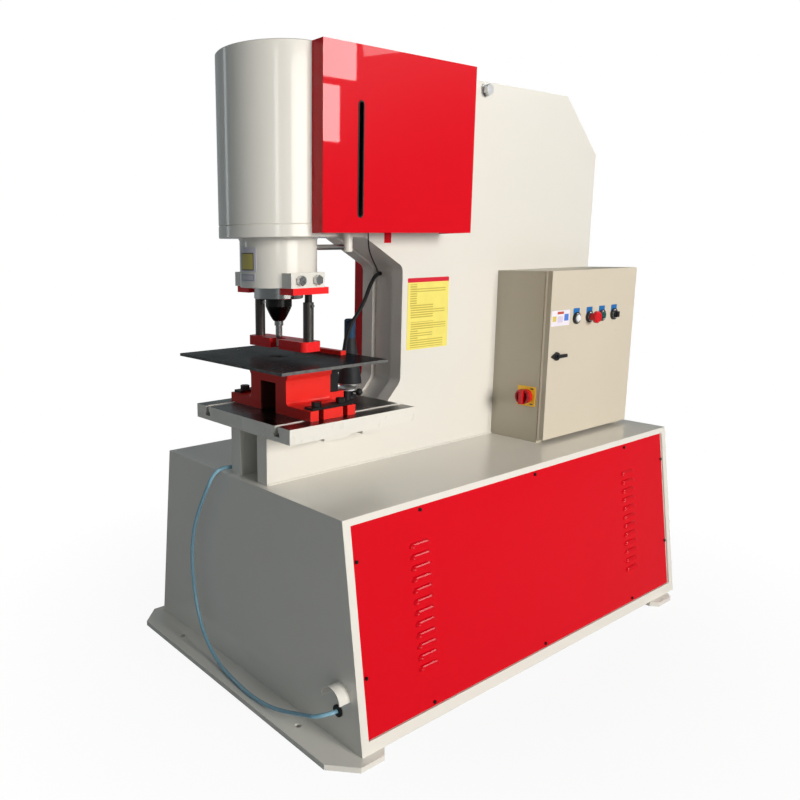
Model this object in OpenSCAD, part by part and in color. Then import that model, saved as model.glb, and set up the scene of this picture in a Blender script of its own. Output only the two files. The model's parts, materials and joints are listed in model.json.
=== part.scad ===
// Hydraulic punching machine with a C-frame on a louvred base.
// Sizes in millimetres. X to the operator's right, Y to the back, Z up, floor at zero.
// Heights are built up from the floor; depths are measured from the punch axis.

/* [Base housing] */
// Length of the housing, front to back
base_len = 1550; // [1500:5:1600]
// Width across the bottom
base_w = 1000; // [980:2:1020]
// Width across the top
base_top_w = 836; // [810:2:860]
// Height above the foot plates
base_h = 594; // [570:2:620]
// Front face ahead of the punch axis
base_front = 135; // [130:1:145]
// Thickness of the housing plates
base_wall = 8; // [7:0.5:10]

/* [Foot plates] */
// Thickness of the foot plates
foot_t = 15; // [12:1:20]
// Length of the foot plates across the machine
foot_len = 1046; // [1030:2:1060]
// Width of a foot plate
foot_w = 165; // [150:5:180]
// Front foot plate ahead of the housing
foot_out = 90; // [80:2:100]
// Bevel on the outer corners
foot_corner = 64; // [40:2:70]
// Anchor hole diameter
anchor_d = 18; // [14:1:22]
// Spacing of the anchor holes
anchor_spacing = 600; // [560:10:640]
// Anchor hole centre to the front edge
anchor_edge = 47; // [40:1:55]

/* [Side panels] */
// Frame left round the panel at front and back
panel_border = 25; // [20:1:32]
// Frame left above the panel
panel_border_top = 18; // [14:1:24]
// Frame left below the panel
panel_border_low = 33; // [26:1:40]
// Flange left behind a panel
panel_back = 2; // [1.5:0.1:3]
// Panel sheet thickness
panel_t = 2.5; // [2:0.1:3]
// Louvres in a column
louvre_count = 12; // [8:1:13]
// Spacing of the louvres up the slope
louvre_pitch = 30; // [28:0.5:32]
// Length of a louvre without its round ends
louvre_len = 52; // [40:2:70]
// Hood radius of a louvre
hood_r = 14; // [12:0.5:15]
// Louvre column in from the housing's ends
louvre_inset = 262; // [230:2:300]
// Lowest louvre up the slope
louvre_low = 146; // [130:2:160]

/* [C-frame] */
// Width over both frame plates
frame_w = 172; // [164:2:180]
// Thickness of a frame plate
plate_t = 45; // [40:1:50]
// Lower jaw ahead of the punch axis
frame_front = 112; // [105:1:120]
// Back edge behind the punch axis
frame_back = 1394; // [1360:2:1402]
// Lower jaw height on the base
jaw_h = 135; // [125:1:145]
// Throat depth behind the punch axis
throat = 406; // [396:1:416]
// Lower throat corner, run of its slope
throat_low_run = 75; // [60:1:78]
// Lower throat corner above the table top
throat_low_up = 46; // [40:1:55]
// Upper throat corner, run of its slope
throat_top_run = 158; // [140:2:175]
// Upper throat corner, drop of its slope
throat_top_drop = 88; // [75:1:100]
// Bevel at the top back corner, run
bevel_run = 205; // [180:5:230]
// Bevel at the top back corner, drop
bevel_drop = 187; // [165:1:210]
// Throat web set back from the plate edges
web_back = 15; // [10:1:20]
// Throat web thickness
web_t = 20; // [14:1:26]
// Back plate thickness
back_t = 12; // [8:1:13]

/* [Table] */
// Table width
table_w = 450; // [430:2:470]
// Table depth
table_len = 461; // [452:1:466]
// Table front ahead of the punch axis
table_front = 141; // [137:1:145]
// Table thickness
table_t = 41; // [38:1:46]
// Spacing of the two table slots
slot_spacing = 336; // [328:2:344]
// Slot width at the top
slot_w = 14; // [13:0.5:16]
// Slot width at the foot of the T
slot_foot_w = 26; // [25:0.5:30]
// Support bar thickness under the table
bar_t = 13; // [10:1:16]

/* [Cylinder] */
// Table top to the underside of the cylinder head
daylight = 351; // [345:1:360]
// Barrel outside diameter
barrel_d = 328; // [320:2:336]
// Barrel bore
bore_d = 250; // [236:2:260]
// Barrel length above the head ring
barrel_len = 442; // [430:2:460]
// Head ring height
ring_h = 33; // [28:1:38]
// Neck diameter
neck_d = 215; // [205:1:225]
// Neck length
neck_len = 133; // [125:1:140]
// Cross block width
block_w = 260; // [252:2:268]
// Cross block depth
block_d = 116; // [108:2:122]
// Cross block height
block_h = 40; // [36:1:44]
// Ram diameter
ram_d = 138; // [132:1:142]
// Ram end below the head when parked
ram_out = 33; // [30:1:36]

/* [Tooling] */
// Die holder length, front to back
holder_len = 162; // [156:2:168]
// Die holder front ahead of the punch axis
holder_front = 41; // [39:1:43]
// Die holder height
holder_h = 146; // [143:1:150]
// Die holder foot beyond the middle of a table slot
holder_edge = 20; // [18:0.5:24]
// Die holder foot thickness
holder_foot_t = 28; // [24:1:32]
// Die holder block width
holder_w = 166; // [160:2:172]
// Slug tunnel width
tunnel_w = 70; // [60:2:76]
// Slug tunnel height
tunnel_h = 85; // [75:1:90]
// Die diameter
die_d = 56; // [50:1:60]
// Hole punched by the tooling
punch_d = 15; // [10:0.5:18]
// Support plate width
sheet_w = 494; // [480:2:504]
// Support plate depth
sheet_len = 368; // [362:2:372]
// Support plate front ahead of the punch axis
sheet_front = 182; // [178:1:186]
// Support plate thickness
sheet_t = 8; // [6:0.5:9]
// Gap between support plate and stripper
work_gap = 24; // [22:1:26]
// Stripper width
strip_w = 264; // [256:2:272]
// Stripper depth
strip_len = 67; // [63:1:71]
// Stripper thickness
strip_t = 27; // [24:1:28]
// Stripper front ahead of the punch axis
strip_front = 17; // [15:1:18]
// Stripper notch width
notch_w = 40; // [38:1:44]
// Spacing of the two stripper posts
post_spacing = 222; // [216:2:226]
// Post sleeve diameter
sleeve_d = 29; // [27:0.5:32]
// Post stud diameter
stud_d = 20; // [17:0.5:21]

/* [Covers] */
// Stroke cover's outer face from the middle of the machine
cover_x = 206; // [200:1:214]
// Stroke cover front ahead of the punch axis
cover_front = 16; // [12:1:20]
// Stroke cover length
cover_len = 580; // [570:2:600]
// Stroke cover height
cover_h = 464; // [454:2:466]
// Cover sheet thickness
cover_t = 2; // [1.5:0.1:2.5]
// Slot width in the stroke cover
view_w = 15; // [12:0.5:18]
// Slot length in the stroke cover
view_len = 286; // [270:2:300]
// Left cover depth from the frame plate
left_d = 41; // [36:1:46]
// Left cover length
left_len = 290; // [260:5:320]
// Left cover height
left_h = 560; // [540:5:580]

/* [Cabinet] */
// Cabinet body depth
cab_d = 180; // [172:1:188]
// Cabinet width
cab_w = 507; // [496:1:514]
// Cabinet height
cab_h = 550; // [540:2:560]
// Cabinet front side behind the punch axis
cab_y = 867; // [855:1:880]
// Cabinet lift above the base
cab_lift = 12; // [8:1:16]
// Door depth
door_d = 24; // [22:1:26]
// Cabinet sheet thickness
cab_t = 2; // [1.5:0.1:2.5]
// Push button diameter
button_d = 23; // [21:0.5:25]
// Stop button head diameter
stop_d = 40; // [36:1:44]
// Spacing of the door controls
button_pitch = 76; // [70:1:78]
// Main switch plate size
switch_w = 66; // [60:1:70]

/* [Work lamp] */
// Lamp shade mouth diameter
shade_d = 76; // [70:1:80]
// Lamp shade neck diameter
shade_neck_d = 34; // [30:1:38]
// Lamp height above the table
lamp_h = 243; // [235:1:250]

/* [Fits] */
// Radial running clearance of the ram and piston
run_fit = 0.05; // [0.03:0.01:0.08]
// Radial clearance of seated parts
seat_fit = 0.05; // [0.03:0.01:0.08]
// Radial clearance of hand-moved parts
hand_fit = 0.3; // [0.3:0.05:0.4]

/* [Hidden] */
$fn = 64;
fine = 32;
overrun = 2;
cream = "#e8e1d4";
red = "#d4101f";
steel = "#b9bcbf";
black = "#1c1c1e";
beige = "#dccdb5";
blue = "#7fc4e8";

// Heights
base_top_z = foot_t + base_h;
jaw_z = base_top_z + jaw_h;
table_z = jaw_z + bar_t;
table_top_z = table_z + table_t;
holder_top_z = table_top_z + holder_h;
sheet_top_z = holder_top_z + sheet_t;
strip_z = sheet_top_z + work_gap;
strip_top_z = strip_z + strip_t;
head_z = table_top_z + daylight;
barrel_z = head_z + neck_len;
ring_top_z = barrel_z + ring_h;
top_z = ring_top_z + barrel_len;

// Base housing
base_slope = atan((base_w - base_top_w) / 2 / base_h);
side_len = base_h / cos(base_slope);
side_run = base_wall / cos(base_slope);
base_back = base_len - base_front;
mid_y = (base_back - base_front - foot_out) / 2;
foot_back_corner = 22;
panel_len = base_len - 2 * panel_border;
panel_h = side_len - panel_border_low - panel_border_top;
panel_gap = 1.5;
panel_rear_gap = 6;
panel_seat = base_wall - panel_back;
panel_lip = 20;
hood_sink = 5;
hood_t = 2;
hood_embed = 1;
slit_edge = 1.5;
slit_h = sqrt(pow(hood_r - hood_t, 2) - pow(hood_sink, 2)) - 2 * slit_edge;
screw_d = 10;
screw_h = 3;
screw_in = 12;
screw_row_shares = [0.165, 0.5, 0.835];
screw_column_shares = [0.29, 0.83];

// Frame
plate_x = frame_w / 2 - plate_t;
throat_low_z = table_top_z + throat_low_up;
throat_low_y = throat - throat_low_run;
throat_step_z = throat_low_z - throat_low_run;
throat_top_z = barrel_z - throat_top_drop;
throat_top_y = throat - throat_top_run;
bevel_y = frame_back - bevel_run;
bevel_z = top_z - bevel_drop;
bevel_len = sqrt(pow(bevel_run, 2) + pow(bevel_drop, 2));
bevel_ny = bevel_drop / bevel_len;
bevel_nz = bevel_run / bevel_len;
nose_share = 0.55;
nose_y = nose_share * barrel_d / 2;
barrel_gap = 1;
back_lap = back_t / 2;
throat_bend = 15;
bend_steps = 4;
tie_y = 758;
tie_drop = 26;
tie_af = 30;
tie_head = 16;
tie_washer_d = 42;
tie_washer_t = 4;
tie_bolt_d = 20;

// Table
slot_top = 16;
slot_foot = 12;
table_back = table_len - table_front;
bar_1_y = -11;
bar_1_w = 91;
bar_2_y = 129;
bar_in = 15;

// Cylinder
barrel_r = barrel_d / 2;
neck_r = neck_d / 2;
ram_r = ram_d / 2;
neck_fillet = 9;
groove = 2;
cap_t = 60;
cap_edge = 3;
piston_h = 70;
piston_up = 84;
piston_groove = 6;
piston_groove_w = 8;
spigot_step = 12;
ram_end_z = head_z - ram_out;
ram_edge = 2;
spigot_d = 56;
spigot_h = 26;
nut_d = 74;
nut_h = 22;
nut_cone = 41;
nut_tip_d = 30;
cone_share = 1.25;
nut_lip = 8;
nut_hole_d = 10;
nut_bottom_z = ram_end_z - nut_h - nut_cone;
collar_d = 25;
collar_h = 13;
punch_head_d = 35;
shank_d = 19;
tip_land = 20;
tip_taper = 9;
tip_up = 6;
punch_tip_z = strip_z + tip_up;
bolt_af = 24;
bolt_head = 13;
head_bolt_gap = 58;
carrier_t = 18;
carrier_in = 73;
carrier_out = 129;
carrier_front = 51;
carrier_len = 124;

// Tooling
holder_mid = holder_len / 2 - holder_front;
holder_back = holder_len - holder_front;
holder_foot_w = slot_spacing + 2 * holder_edge;
holder_top_w = 178;
holder_top_t = 40;
holder_fillet = 10;
lug_len = 52;
lug_h = 46;
die_seat_h = 44;
slug_d = 30;
die_gap = 0.4;
die_relief = 4;
die_land = 16;
slot_open = 17;
clamp_w = 34;
clamp_t = 7;
clamp_in = 10;
clamp_gap = 87;
clamp_bolt_d = 12;
clamp_nut_h = 9;
clamp_nut_len = 24;
nut_play = 1;
gauge_w = 210;
gauge_d = 20;
gauge_h = 12;
gauge_y = 140;
strip_corner = 18;
post_y = 16;
sleeve_h = 106;
stud_h = 98;
sleeve_screw_d = 9;
sleeve_screw_h = 6;
sleeve_screw_drop = 9;

// Pressure pipe
pipe_d = 15;
pipe_x = 112;
pipe_y = 158;
pipe_r = sqrt(pow(pipe_x, 2) + pow(pipe_y, 2));
pipe_a = atan2(pipe_y, pipe_x);
pipe_up = 106;
elbow_d = 25;
elbow_low = 13;
elbow_h = 62;
riser_d = 16;
riser_up = 165;
riser_bend = 20;

// Covers
cover_up = 9;
cover_z = barrel_z + cover_up;
cover_y0 = -cover_front;
view_y = 114;
view_low = 49;
tab_y = 325;
tab_w = 27;
tab_drop = 26;
tab_shelf = 20;
limit_w = 34;
limit_d = 42;
limit_h = 80;
limit_y = 236;
limit_shares = [0.2, 0.62];
left_y = 410;
left_low = 44;

// Cabinet
cab_x = frame_w / 2;
cab_z = base_top_z + cab_lift;
cab_front_x = cab_x + cab_d;
door_gap = 1;
door_x = cab_front_x + door_gap;
door_face_x = door_x + door_d;
cab_back = cab_y + cab_w;
cab_lip = 14;
cab_rail = 30;
hinge_r = 6;
hinge_pin_d = 6;
hinge_fit = 0.05;
hinge_gap = 0.4;
hinge_h = 25;
hinge_out = 7;
hinge_leaf = 40;
hinge_web = 4;
hinge_shares = [0.15, 0.85];
hinge_x = door_x + door_d / 2;
hinge_y = cab_back + hinge_out;
button_up = 394;
button_y = 146;
ring_out = 6;
ring_wall = 4;
cap_out = 12;
cap_in = 4;
hole_d = 30;
block_w2 = 34;
block_len = 42;
block_back = 12;
stop_out = 21;
stop_head = 16;
stop_edge = 4;
selector_bar = 8;
selector_bar_h = 9;
lock_up = 276;
lock_in = 43;
lock_d = 26;
lock_t = 8;
lock_neck_d = 18;
lock_neck = 14;
lock_lever = 46;
lock_lever_w = 11;
lock_lever_t = 6;
switch_x = 135;
switch_up = 140;
switch_t = 3;
knob_d = 48;
knob_t = 12;
knob_bar_w = 15;
knob_bar_t = 20;
knob_stem_d = 10;
switch_neck_d = 24;
switch_block = 46;
switch_block_len = 50;
board_in = 30;
board_t = 2.5;
board_off = 6;
board_stud_d = 10;
device_d = 70;
device_h = 80;
device_w = 46;
device_gap = 62;
device_first = 60;
device_up = 330;

// Work lamp
lamp_x = 0;
lamp_y = 272;
shade_h = 140;
shade_t = 2;
shade_cap_h = 56;
shade_edge = 4;
bezel_h = 9;
bezel_d = 58;
lamp_foot_d = 46;
lamp_foot_t = 8;
lamp_stem_d = 24;
dish_x = 52;
dish_y = 213;
dish_up = 40;
dish_d = 62;
dish_h = 12;
lamp_knob_d = 24;
lamp_knob_out = 44;
lamp_knob_stem = 8;

// Base fittings
hood_in = 82;
hood_x = base_w / 2 - hood_in;
shroud_z = 146;
shroud_r = 36;
shroud_len = 36;
shroud_t = 3;
grommet_in = 8;
grommet_x = hood_x - grommet_in;
grommet_z = 100;
grommet_d = 24;
grommet_out = 4;
hose_d = 11;
hose_fit_x = -112;
hose_fit_y = 60;
hose_fit_d = 20;
hose_fit_h = 22;
nozzle_d = 15;
socket_len = 30;
socket_edge = 4;
socket_in = tunnel_w / 2 + socket_edge;
socket_out = holder_w / 2;
socket_drop = 30;

// Power unit
tank_w = 460;
tank_len = 620;
tank_h = 360;
tank_y = 640;
tank_edge = 5;
motor_d = 250;
motor_len = 380;
motor_y = 120;
motor_foot_w = 220;
motor_foot_t = 14;
motor_lift = 150;
pump_d = 110;
pump_len = 90;
fin_w = 6;
fin_h = 12;
fin_count = 24;

// Cord routes: each run is given from the piece that it leaves or passes
hose_head = [
    [-112, 40, 11], [-112, 20, 11], [-111, -20, 9], [-109, -60, 8], [-107, -95, 9], [-109, -122, 10]];
hose_edge = [[-112, -10, 4], [-117, -26.5, -12.5], [-127, -33, -36], [-157, -33, -81]];
hose_fall = [
    [-190, -32, 475], [-217, -34, 411], [-231, -35, 349], [-232, -37, 289], [-224, -39, 233],
    [-203, -42, 160], [-169, -45, 98], [-119, -49, 54], [-59, -53, 27], [20, -61, 21]];
hose_end = [
    [-309, -67, -79], [-250, -65, -78], [-195, -61, -71], [-142, -57, -56], [-96, -55, -39],
    [-50, -54.3, -20], [-33, -51.3, -14], [-14.6, -39.7, -5.5], [-3, -21.4, -1], [0, -4.3, 0]];
hose_route = concat(
    [for (p = hose_head) p + [0, 0, base_top_z]],
    [for (p = hose_edge) p + [0, -base_front, base_top_z]],
    [for (p = hose_fall) p + [0, -base_front, 0]],
    [for (p = hose_end) p + [grommet_x, -base_front, grommet_z]]);
cord_end = 1.3;
conduit_head = [
    [-21, -1, -22], [-21, -12, -23.8], [-19, -24, -28.5], [-15, -37, -37], [-10, -51, -49],
    [-4, -68, -67], [4, -91, -97], [15, -130, -136]];
conduit_tail = [
    [25, 137, 89], [34, 112, 59], [40, 98, 32], [44, 92, 12], [49, 86, -8], [54, 75, -25], [58, 60, -38],
    [60, 44, -45], [60, socket_len + cord_end, -47.5]];
conduit_route = concat(
    [for (p = conduit_head) p + [0, throat + web_back, throat_top_z]],
    [for (p = conduit_tail) p + [0, holder_back, holder_top_z]]);
cable_head = [[100, 246, 9], [99, 248, -11], [97, 252, -32], [88, 264, -47]];
cable_tail = [
    [68, -129, 32], [46, -98, 16], [22, -65, 2], [-4, -34, -9], [-22, -15, -15], [-28, -7, -17],
    [-30, -0.8, -17.5]];
cable_route = concat(
    [for (p = cable_head) p + [0, 0, cover_z]],
    [for (p = cable_tail) p + [0, throat + web_back, throat_top_z]]);
conduit_d = 12;
cable_d = 4;
cord_sides = 10;
hose_steps = 2;
short_steps = 2;

// Sub-part to draw, or all of them

module placed() { translate([0, -mid_y, 0]) children(); }

module box(lo, hi) { translate(lo) cube(hi - lo); }

module both_sides() {
    children();
    mirror([1, 0, 0]) children();
}

// Profile in Y and Z, drawn along X
module along_x(x0, len) {
    translate([x0, 0, 0]) rotate([90, 0, 90]) linear_extrude(len) children();
}

// Profile in X and Z, drawn along Y
module along_y(y0, len) {
    translate([0, y0 + len, 0]) rotate([90, 0, 0]) linear_extrude(len) children();
}

// Round bar along X from a point
module rod_x(p, d, len) { translate(p) rotate([0, 90, 0]) cylinder(d = d, h = len); }

// Round bar along Y from a point
module rod_y(p, d, len) { translate([p[0], p[1] + len, p[2]]) rotate([90, 0, 0]) cylinder(d = d, h = len); }

// Round bar up from a point
module rod_z(p, d, len) { translate(p) cylinder(d = d, h = len); }

// Sloping right side of the base: x to the back, y up the slope, z outward
module side_plane() {
    translate([base_w / 2, -base_front, foot_t])
        rotate([0, -base_slope, 0])
            rotate([90, 0, 90])
                children();
}

function half_at(z) = base_w / 2 - (base_w - base_top_w) / 2 * (z - foot_t) / base_h;

// Smooth run of points through a route
function blend(a, b, c, d, t) =
    0.5 * ((2 * b) + (c - a) * t + (2 * a - 5 * b + 4 * c - d) * t * t
    + (3 * b - a - 3 * c + d) * t * t * t);
function at(r, i) = r[max(0, min(len(r) - 1, i))];
function smooth(r, n) = concat(
    [for (i = [0 : len(r) - 2]) for (k = [0 : n - 1])
        blend(at(r, i - 1), at(r, i), at(r, i + 1), at(r, i + 2), k / n)],
    [r[len(r) - 1]]);
function unit(v) = v / norm(v);
function heading(p, i) = unit(at(p, i + 1) - at(p, i - 1));
function turned(u, t) = unit(u - (u * t) * t);
function sides(p, i, u) = i >= len(p) ? [] :
    let (w = turned(u, heading(p, i))) concat([w], sides(p, i + 1, w));

module cord(route, d, steps, lead) {
    p = smooth(route, steps);
    n = len(p);
    w = sides(p, 0, lead);
    ring = [for (i = [0 : n - 1]) for (k = [0 : cord_sides - 1])
        let (t = heading(p, i), s = cross(t, w[i]), a = 360 * k / cord_sides)
            p[i] + d / 2 * (cos(a) * w[i] + sin(a) * s)];
    walls = [for (i = [0 : n - 2]) for (k = [0 : cord_sides - 1])
        let (a = i * cord_sides, b = (k + 1) % cord_sides)
            [a + k, a + cord_sides + k, a + cord_sides + b, a + b]];
    first = [[for (k = [0 : cord_sides - 1]) k]];
    last = [[for (k = [cord_sides - 1 : -1 : 0]) (n - 1) * cord_sides + k]];
    polyhedron(points = ring, faces = concat(walls, first, last), convexity = 6);
}

module base_housing() {
    color(cream) placed() difference() {
        along_y(-base_front, base_len) polygon([
            [-base_w / 2, foot_t], [base_w / 2, foot_t],
            [base_top_w / 2, base_top_z], [-base_top_w / 2, base_top_z]]);
        along_y(base_wall - base_front, base_len - 2 * base_wall) polygon([
            [side_run - half_at(foot_t + base_wall), foot_t + base_wall],
            [half_at(foot_t + base_wall) - side_run, foot_t + base_wall],
            [half_at(base_top_z - base_wall) - side_run, base_top_z - base_wall],
            [side_run - half_at(base_top_z - base_wall), base_top_z - base_wall]]);
        both_sides() side_plane() {
            translate([panel_border, panel_border_low, -panel_seat])
                cube([panel_len, panel_h, panel_seat + overrun]);
            translate([panel_border + panel_lip, panel_border_low + panel_lip, -base_wall - overrun])
                cube([panel_len - 2 * panel_lip, panel_h - 2 * panel_lip, base_wall + 2 * overrun]);
        }
        rod_y([grommet_x, -base_front - overrun, grommet_z], grommet_d, base_wall + 2 * overrun);
    }
}

module foot_outline() {
    polygon([
        [foot_corner - foot_len / 2, 0], [foot_len / 2 - foot_corner, 0],
        [foot_len / 2, foot_corner], [foot_len / 2, foot_w - foot_back_corner],
        [foot_len / 2 - foot_back_corner, foot_w], [foot_back_corner - foot_len / 2, foot_w],
        [-foot_len / 2, foot_w - foot_back_corner], [-foot_len / 2, foot_corner]]);
}

module front_foot() {
    color(cream) placed() translate([0, -base_front - foot_out, 0])
        linear_extrude(foot_t) difference() {
            foot_outline();
            for (s = [-1, 1]) translate([s * anchor_spacing / 2, anchor_edge]) circle(d = anchor_d);
        }
}

module rear_foot() {
    color(cream) placed() translate([0, base_back, 0])
        mirror([0, 1, 0]) linear_extrude(foot_t) foot_outline();
}

module louvre_body(r) {
    translate([0, 0, -hood_sink]) rotate([0, 90, 0]) rotate_extrude($fn = fine) intersection() {
        union() {
            circle(r = r, $fn = fine);
            square([r, louvre_len]);
            translate([0, louvre_len]) circle(r = r, $fn = fine);
        }
        translate([0, -r]) square([r, louvre_len + 2 * r]);
    }
}

module louvre_hood() {
    intersection() {
        difference() {
            louvre_body(hood_r);
            louvre_body(hood_r - hood_t);
        }
        translate([-hood_r, 0, -hood_embed]) cube([louvre_len + 2 * hood_r, hood_r, hood_r]);
    }
}

module at_louvres() {
    for (x = [louvre_inset, base_len - louvre_inset]) for (i = [0 : louvre_count - 1])
        translate([x - louvre_len / 2, louvre_low + i * louvre_pitch]) children();
}

module side_panel() {
    translate([0, 0, -panel_seat]) {
        linear_extrude(panel_t) difference() {
            translate([panel_border + panel_gap, panel_border_low + panel_gap])
                square([panel_len - panel_gap - panel_rear_gap, panel_h - 2 * panel_gap]);
            at_louvres() translate([slit_edge, slit_edge]) square([louvre_len - 2 * slit_edge, slit_h]);
        }
        translate([0, 0, panel_t]) at_louvres() louvre_hood();
    }
}

module right_panel() { color(red) placed() side_plane() side_panel(); }

module left_panel() { color(red) placed() mirror([1, 0, 0]) side_plane() side_panel(); }

module screw_head() { cylinder(d = screw_d, h = screw_h, $fn = fine); }

module panel_screws() {
    color(black) placed() both_sides() side_plane()
        translate([panel_border, panel_border_low, panel_t - panel_seat]) {
            for (s = screw_row_shares) {
                translate([s * panel_len, screw_in]) screw_head();
                translate([s * panel_len, panel_h - screw_in]) screw_head();
            }
            for (s = screw_column_shares) {
                translate([screw_in, s * panel_h]) screw_head();
                translate([panel_len - screw_in, s * panel_h]) screw_head();
            }
        }
}

// Rounded corner at b, between a and c
function bend(a, b, c) = [for (k = [0 : bend_steps]) let (s = k / bend_steps)
    b + throat_bend * ((1 - s) * (1 - s) * unit(a - b) + s * s * unit(c - b))];

// Throat edge from the head down to the jaw, set back by a distance
function throat_line(back) = concat(
    [[throat_top_y + back, barrel_z]],
    bend([throat_top_y + back, barrel_z], [throat + back, throat_top_z], [throat + back, throat_low_z]),
    bend([throat + back, throat_top_z], [throat + back, throat_low_z], [throat_low_y + back, throat_step_z]),
    [[throat_low_y + back, throat_step_z], [throat_low_y + back, jaw_z]]);

function reversed(p) = [for (i = [len(p) - 1 : -1 : 0]) p[i]];

module frame_plate() {
    difference() {
        along_x(plate_x, plate_t) polygon(concat([
            [-frame_front, base_top_z], [frame_back, base_top_z], [frame_back, bevel_z],
            [bevel_y, top_z], [nose_y, top_z], [nose_y, barrel_z]],
            throat_line(0), [[-frame_front, jaw_z]]));
        rod_z([0, 0, barrel_z - overrun], barrel_d + 2 * barrel_gap, top_z - barrel_z + 2 * overrun);
        rod_x([plate_x - overrun, tie_y, top_z - tie_drop], tie_bolt_d, plate_t + 2 * overrun);
    }
}

module frame_right_plate() { color(cream) placed() frame_plate(); }

module frame_left_plate() { color(cream) placed() mirror([1, 0, 0]) frame_plate(); }

module throat_web() {
    color(cream) placed() along_x(-plate_x, 2 * plate_x)
        polygon(concat(throat_line(web_back), reversed(throat_line(web_back + web_t))));
}

module frame_back_plate() {
    corner_z = bevel_z + back_t * (bevel_nz - bevel_drop * (1 - bevel_ny) / bevel_run);
    end_y = bevel_y + back_t / bevel_ny;
    color(cream) placed() {
        along_x(-frame_w / 2, frame_w) polygon([
            [frame_back, base_top_z], [frame_back + back_t, base_top_z],
            [frame_back + back_t, corner_z], [end_y, top_z], [bevel_y, top_z],
            [frame_back, bevel_z]]);
        along_x(-plate_x, 2 * plate_x) polygon([
            [barrel_r + barrel_gap, top_z], [bevel_y + back_lap, top_z],
            [bevel_y + bevel_run * back_t / bevel_drop + back_lap, top_z - back_t],
            [barrel_r + barrel_gap, top_z - back_t]]);
    }
}

module tie_bolt() {
    color(steel) placed() {
        rod_x([-frame_w / 2, tie_y, top_z - tie_drop], tie_bolt_d, frame_w);
        both_sides() {
            rod_x([frame_w / 2, tie_y, top_z - tie_drop], tie_washer_d, tie_washer_t);
            translate([frame_w / 2 + tie_washer_t, tie_y, top_z - tie_drop])
                rotate([0, 90, 0]) cylinder(d = tie_af / cos(30), h = tie_head, $fn = 6);
        }
    }
}

module table() {
    color(steel) placed() difference() {
        box([-table_w / 2, -table_front, table_z], [table_w / 2, table_back, table_top_z]);
        for (s = [-1, 1]) {
            box([s * slot_spacing / 2 - slot_w / 2, -table_front - overrun, table_top_z - slot_top],
                [s * slot_spacing / 2 + slot_w / 2, table_back + overrun, table_top_z + overrun]);
            box([s * slot_spacing / 2 - slot_foot_w / 2, -table_front - overrun, table_top_z - slot_top - slot_foot],
                [s * slot_spacing / 2 + slot_foot_w / 2, table_back + overrun, table_top_z - slot_top]);
        }
    }
}

module table_supports() {
    color(cream) placed() {
        box([bar_in - table_w / 2, bar_1_y, jaw_z], [table_w / 2 - bar_in, bar_1_y + bar_1_w, table_z]);
        box([bar_in - table_w / 2, bar_2_y, jaw_z], [table_w / 2 - bar_in, table_back, table_z]);
    }
}

// Fillet between a wall at x and a ledge at z, in the holder's profile
function hollow(x, z, sx, sz) = [for (k = [0 : 5]) let (a = 90 * k / 5)
    [x + sx * holder_fillet * (1 - sin(a)), z + sz * holder_fillet * (1 - cos(a))]];

function holder_half() = concat(
    [[holder_foot_w / 2, table_top_z], [holder_foot_w / 2, table_top_z + holder_foot_t]],
    hollow(holder_w / 2, table_top_z + holder_foot_t, 1, 1),
    [[holder_w / 2, holder_top_z - holder_top_t - holder_fillet],
    [holder_top_w / 2, holder_top_z - holder_top_t], [holder_top_w / 2, holder_top_z]]);

function flipped(p) = [for (i = [len(p) - 1 : -1 : 0]) [-p[i][0], p[i][1]]];

module die_holder() {
    color(red) placed() difference() {
        union() {
            along_y(-holder_front, holder_len) polygon(concat(holder_half(), flipped(holder_half())));
            box([-holder_w / 2, holder_back - holder_fillet, table_top_z],
                [holder_w / 2, holder_back + lug_len, table_top_z + lug_h]);
        }
        box([-tunnel_w / 2, -holder_front - overrun, table_top_z - overrun],
            [tunnel_w / 2, holder_back + lug_len + overrun, table_top_z + tunnel_h]);
        rod_z([0, 0, holder_top_z - die_seat_h], die_d + 2 * seat_fit, die_seat_h + overrun);
        rod_z([0, 0, table_top_z], slug_d, holder_h);
        for (s = [-1, 1]) for (c = [-1, 1])
            translate([s * slot_spacing / 2, holder_mid + c * clamp_gap / 2, table_top_z - overrun]) {
                cylinder(d = slot_open, h = holder_foot_t + 2 * overrun, $fn = fine);
                translate([s > 0 ? 0 : -holder_foot_w / 2, -slot_open / 2, 0])
                    cube([holder_foot_w / 2, slot_open, holder_foot_t + 2 * overrun]);
            }
    }
}

module die() {
    color(steel) placed() translate([0, 0, holder_top_z - die_seat_h]) rotate_extrude() polygon([
        [slug_d / 2, 0], [die_d / 2, 0], [die_d / 2, die_seat_h + sheet_t],
        [punch_d / 2 + die_gap, die_seat_h + sheet_t],
        [punch_d / 2 + die_gap, die_seat_h + sheet_t - die_land],
        [punch_d / 2 + die_gap + die_relief, die_seat_h + sheet_t - die_land - die_relief],
        [punch_d / 2 + die_gap + die_relief, die_relief]]);
}

module clamp_strips() {
    color(black) placed() difference() {
        for (s = [-1, 1])
            box([s * slot_spacing / 2 - clamp_w / 2, clamp_in - holder_front, table_top_z + holder_foot_t],
                [s * slot_spacing / 2 + clamp_w / 2, holder_len - holder_front - clamp_in,
                    table_top_z + holder_foot_t + clamp_t]);
        at_clamps() rod_z([0, 0, -overrun], clamp_bolt_d + 2 * seat_fit, clamp_t + 2 * overrun);
    }
}

module at_clamps() {
    for (s = [-1, 1]) for (c = [-1, 1])
        translate([s * slot_spacing / 2, holder_mid + c * clamp_gap / 2, table_top_z + holder_foot_t])
            children();
}

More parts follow.
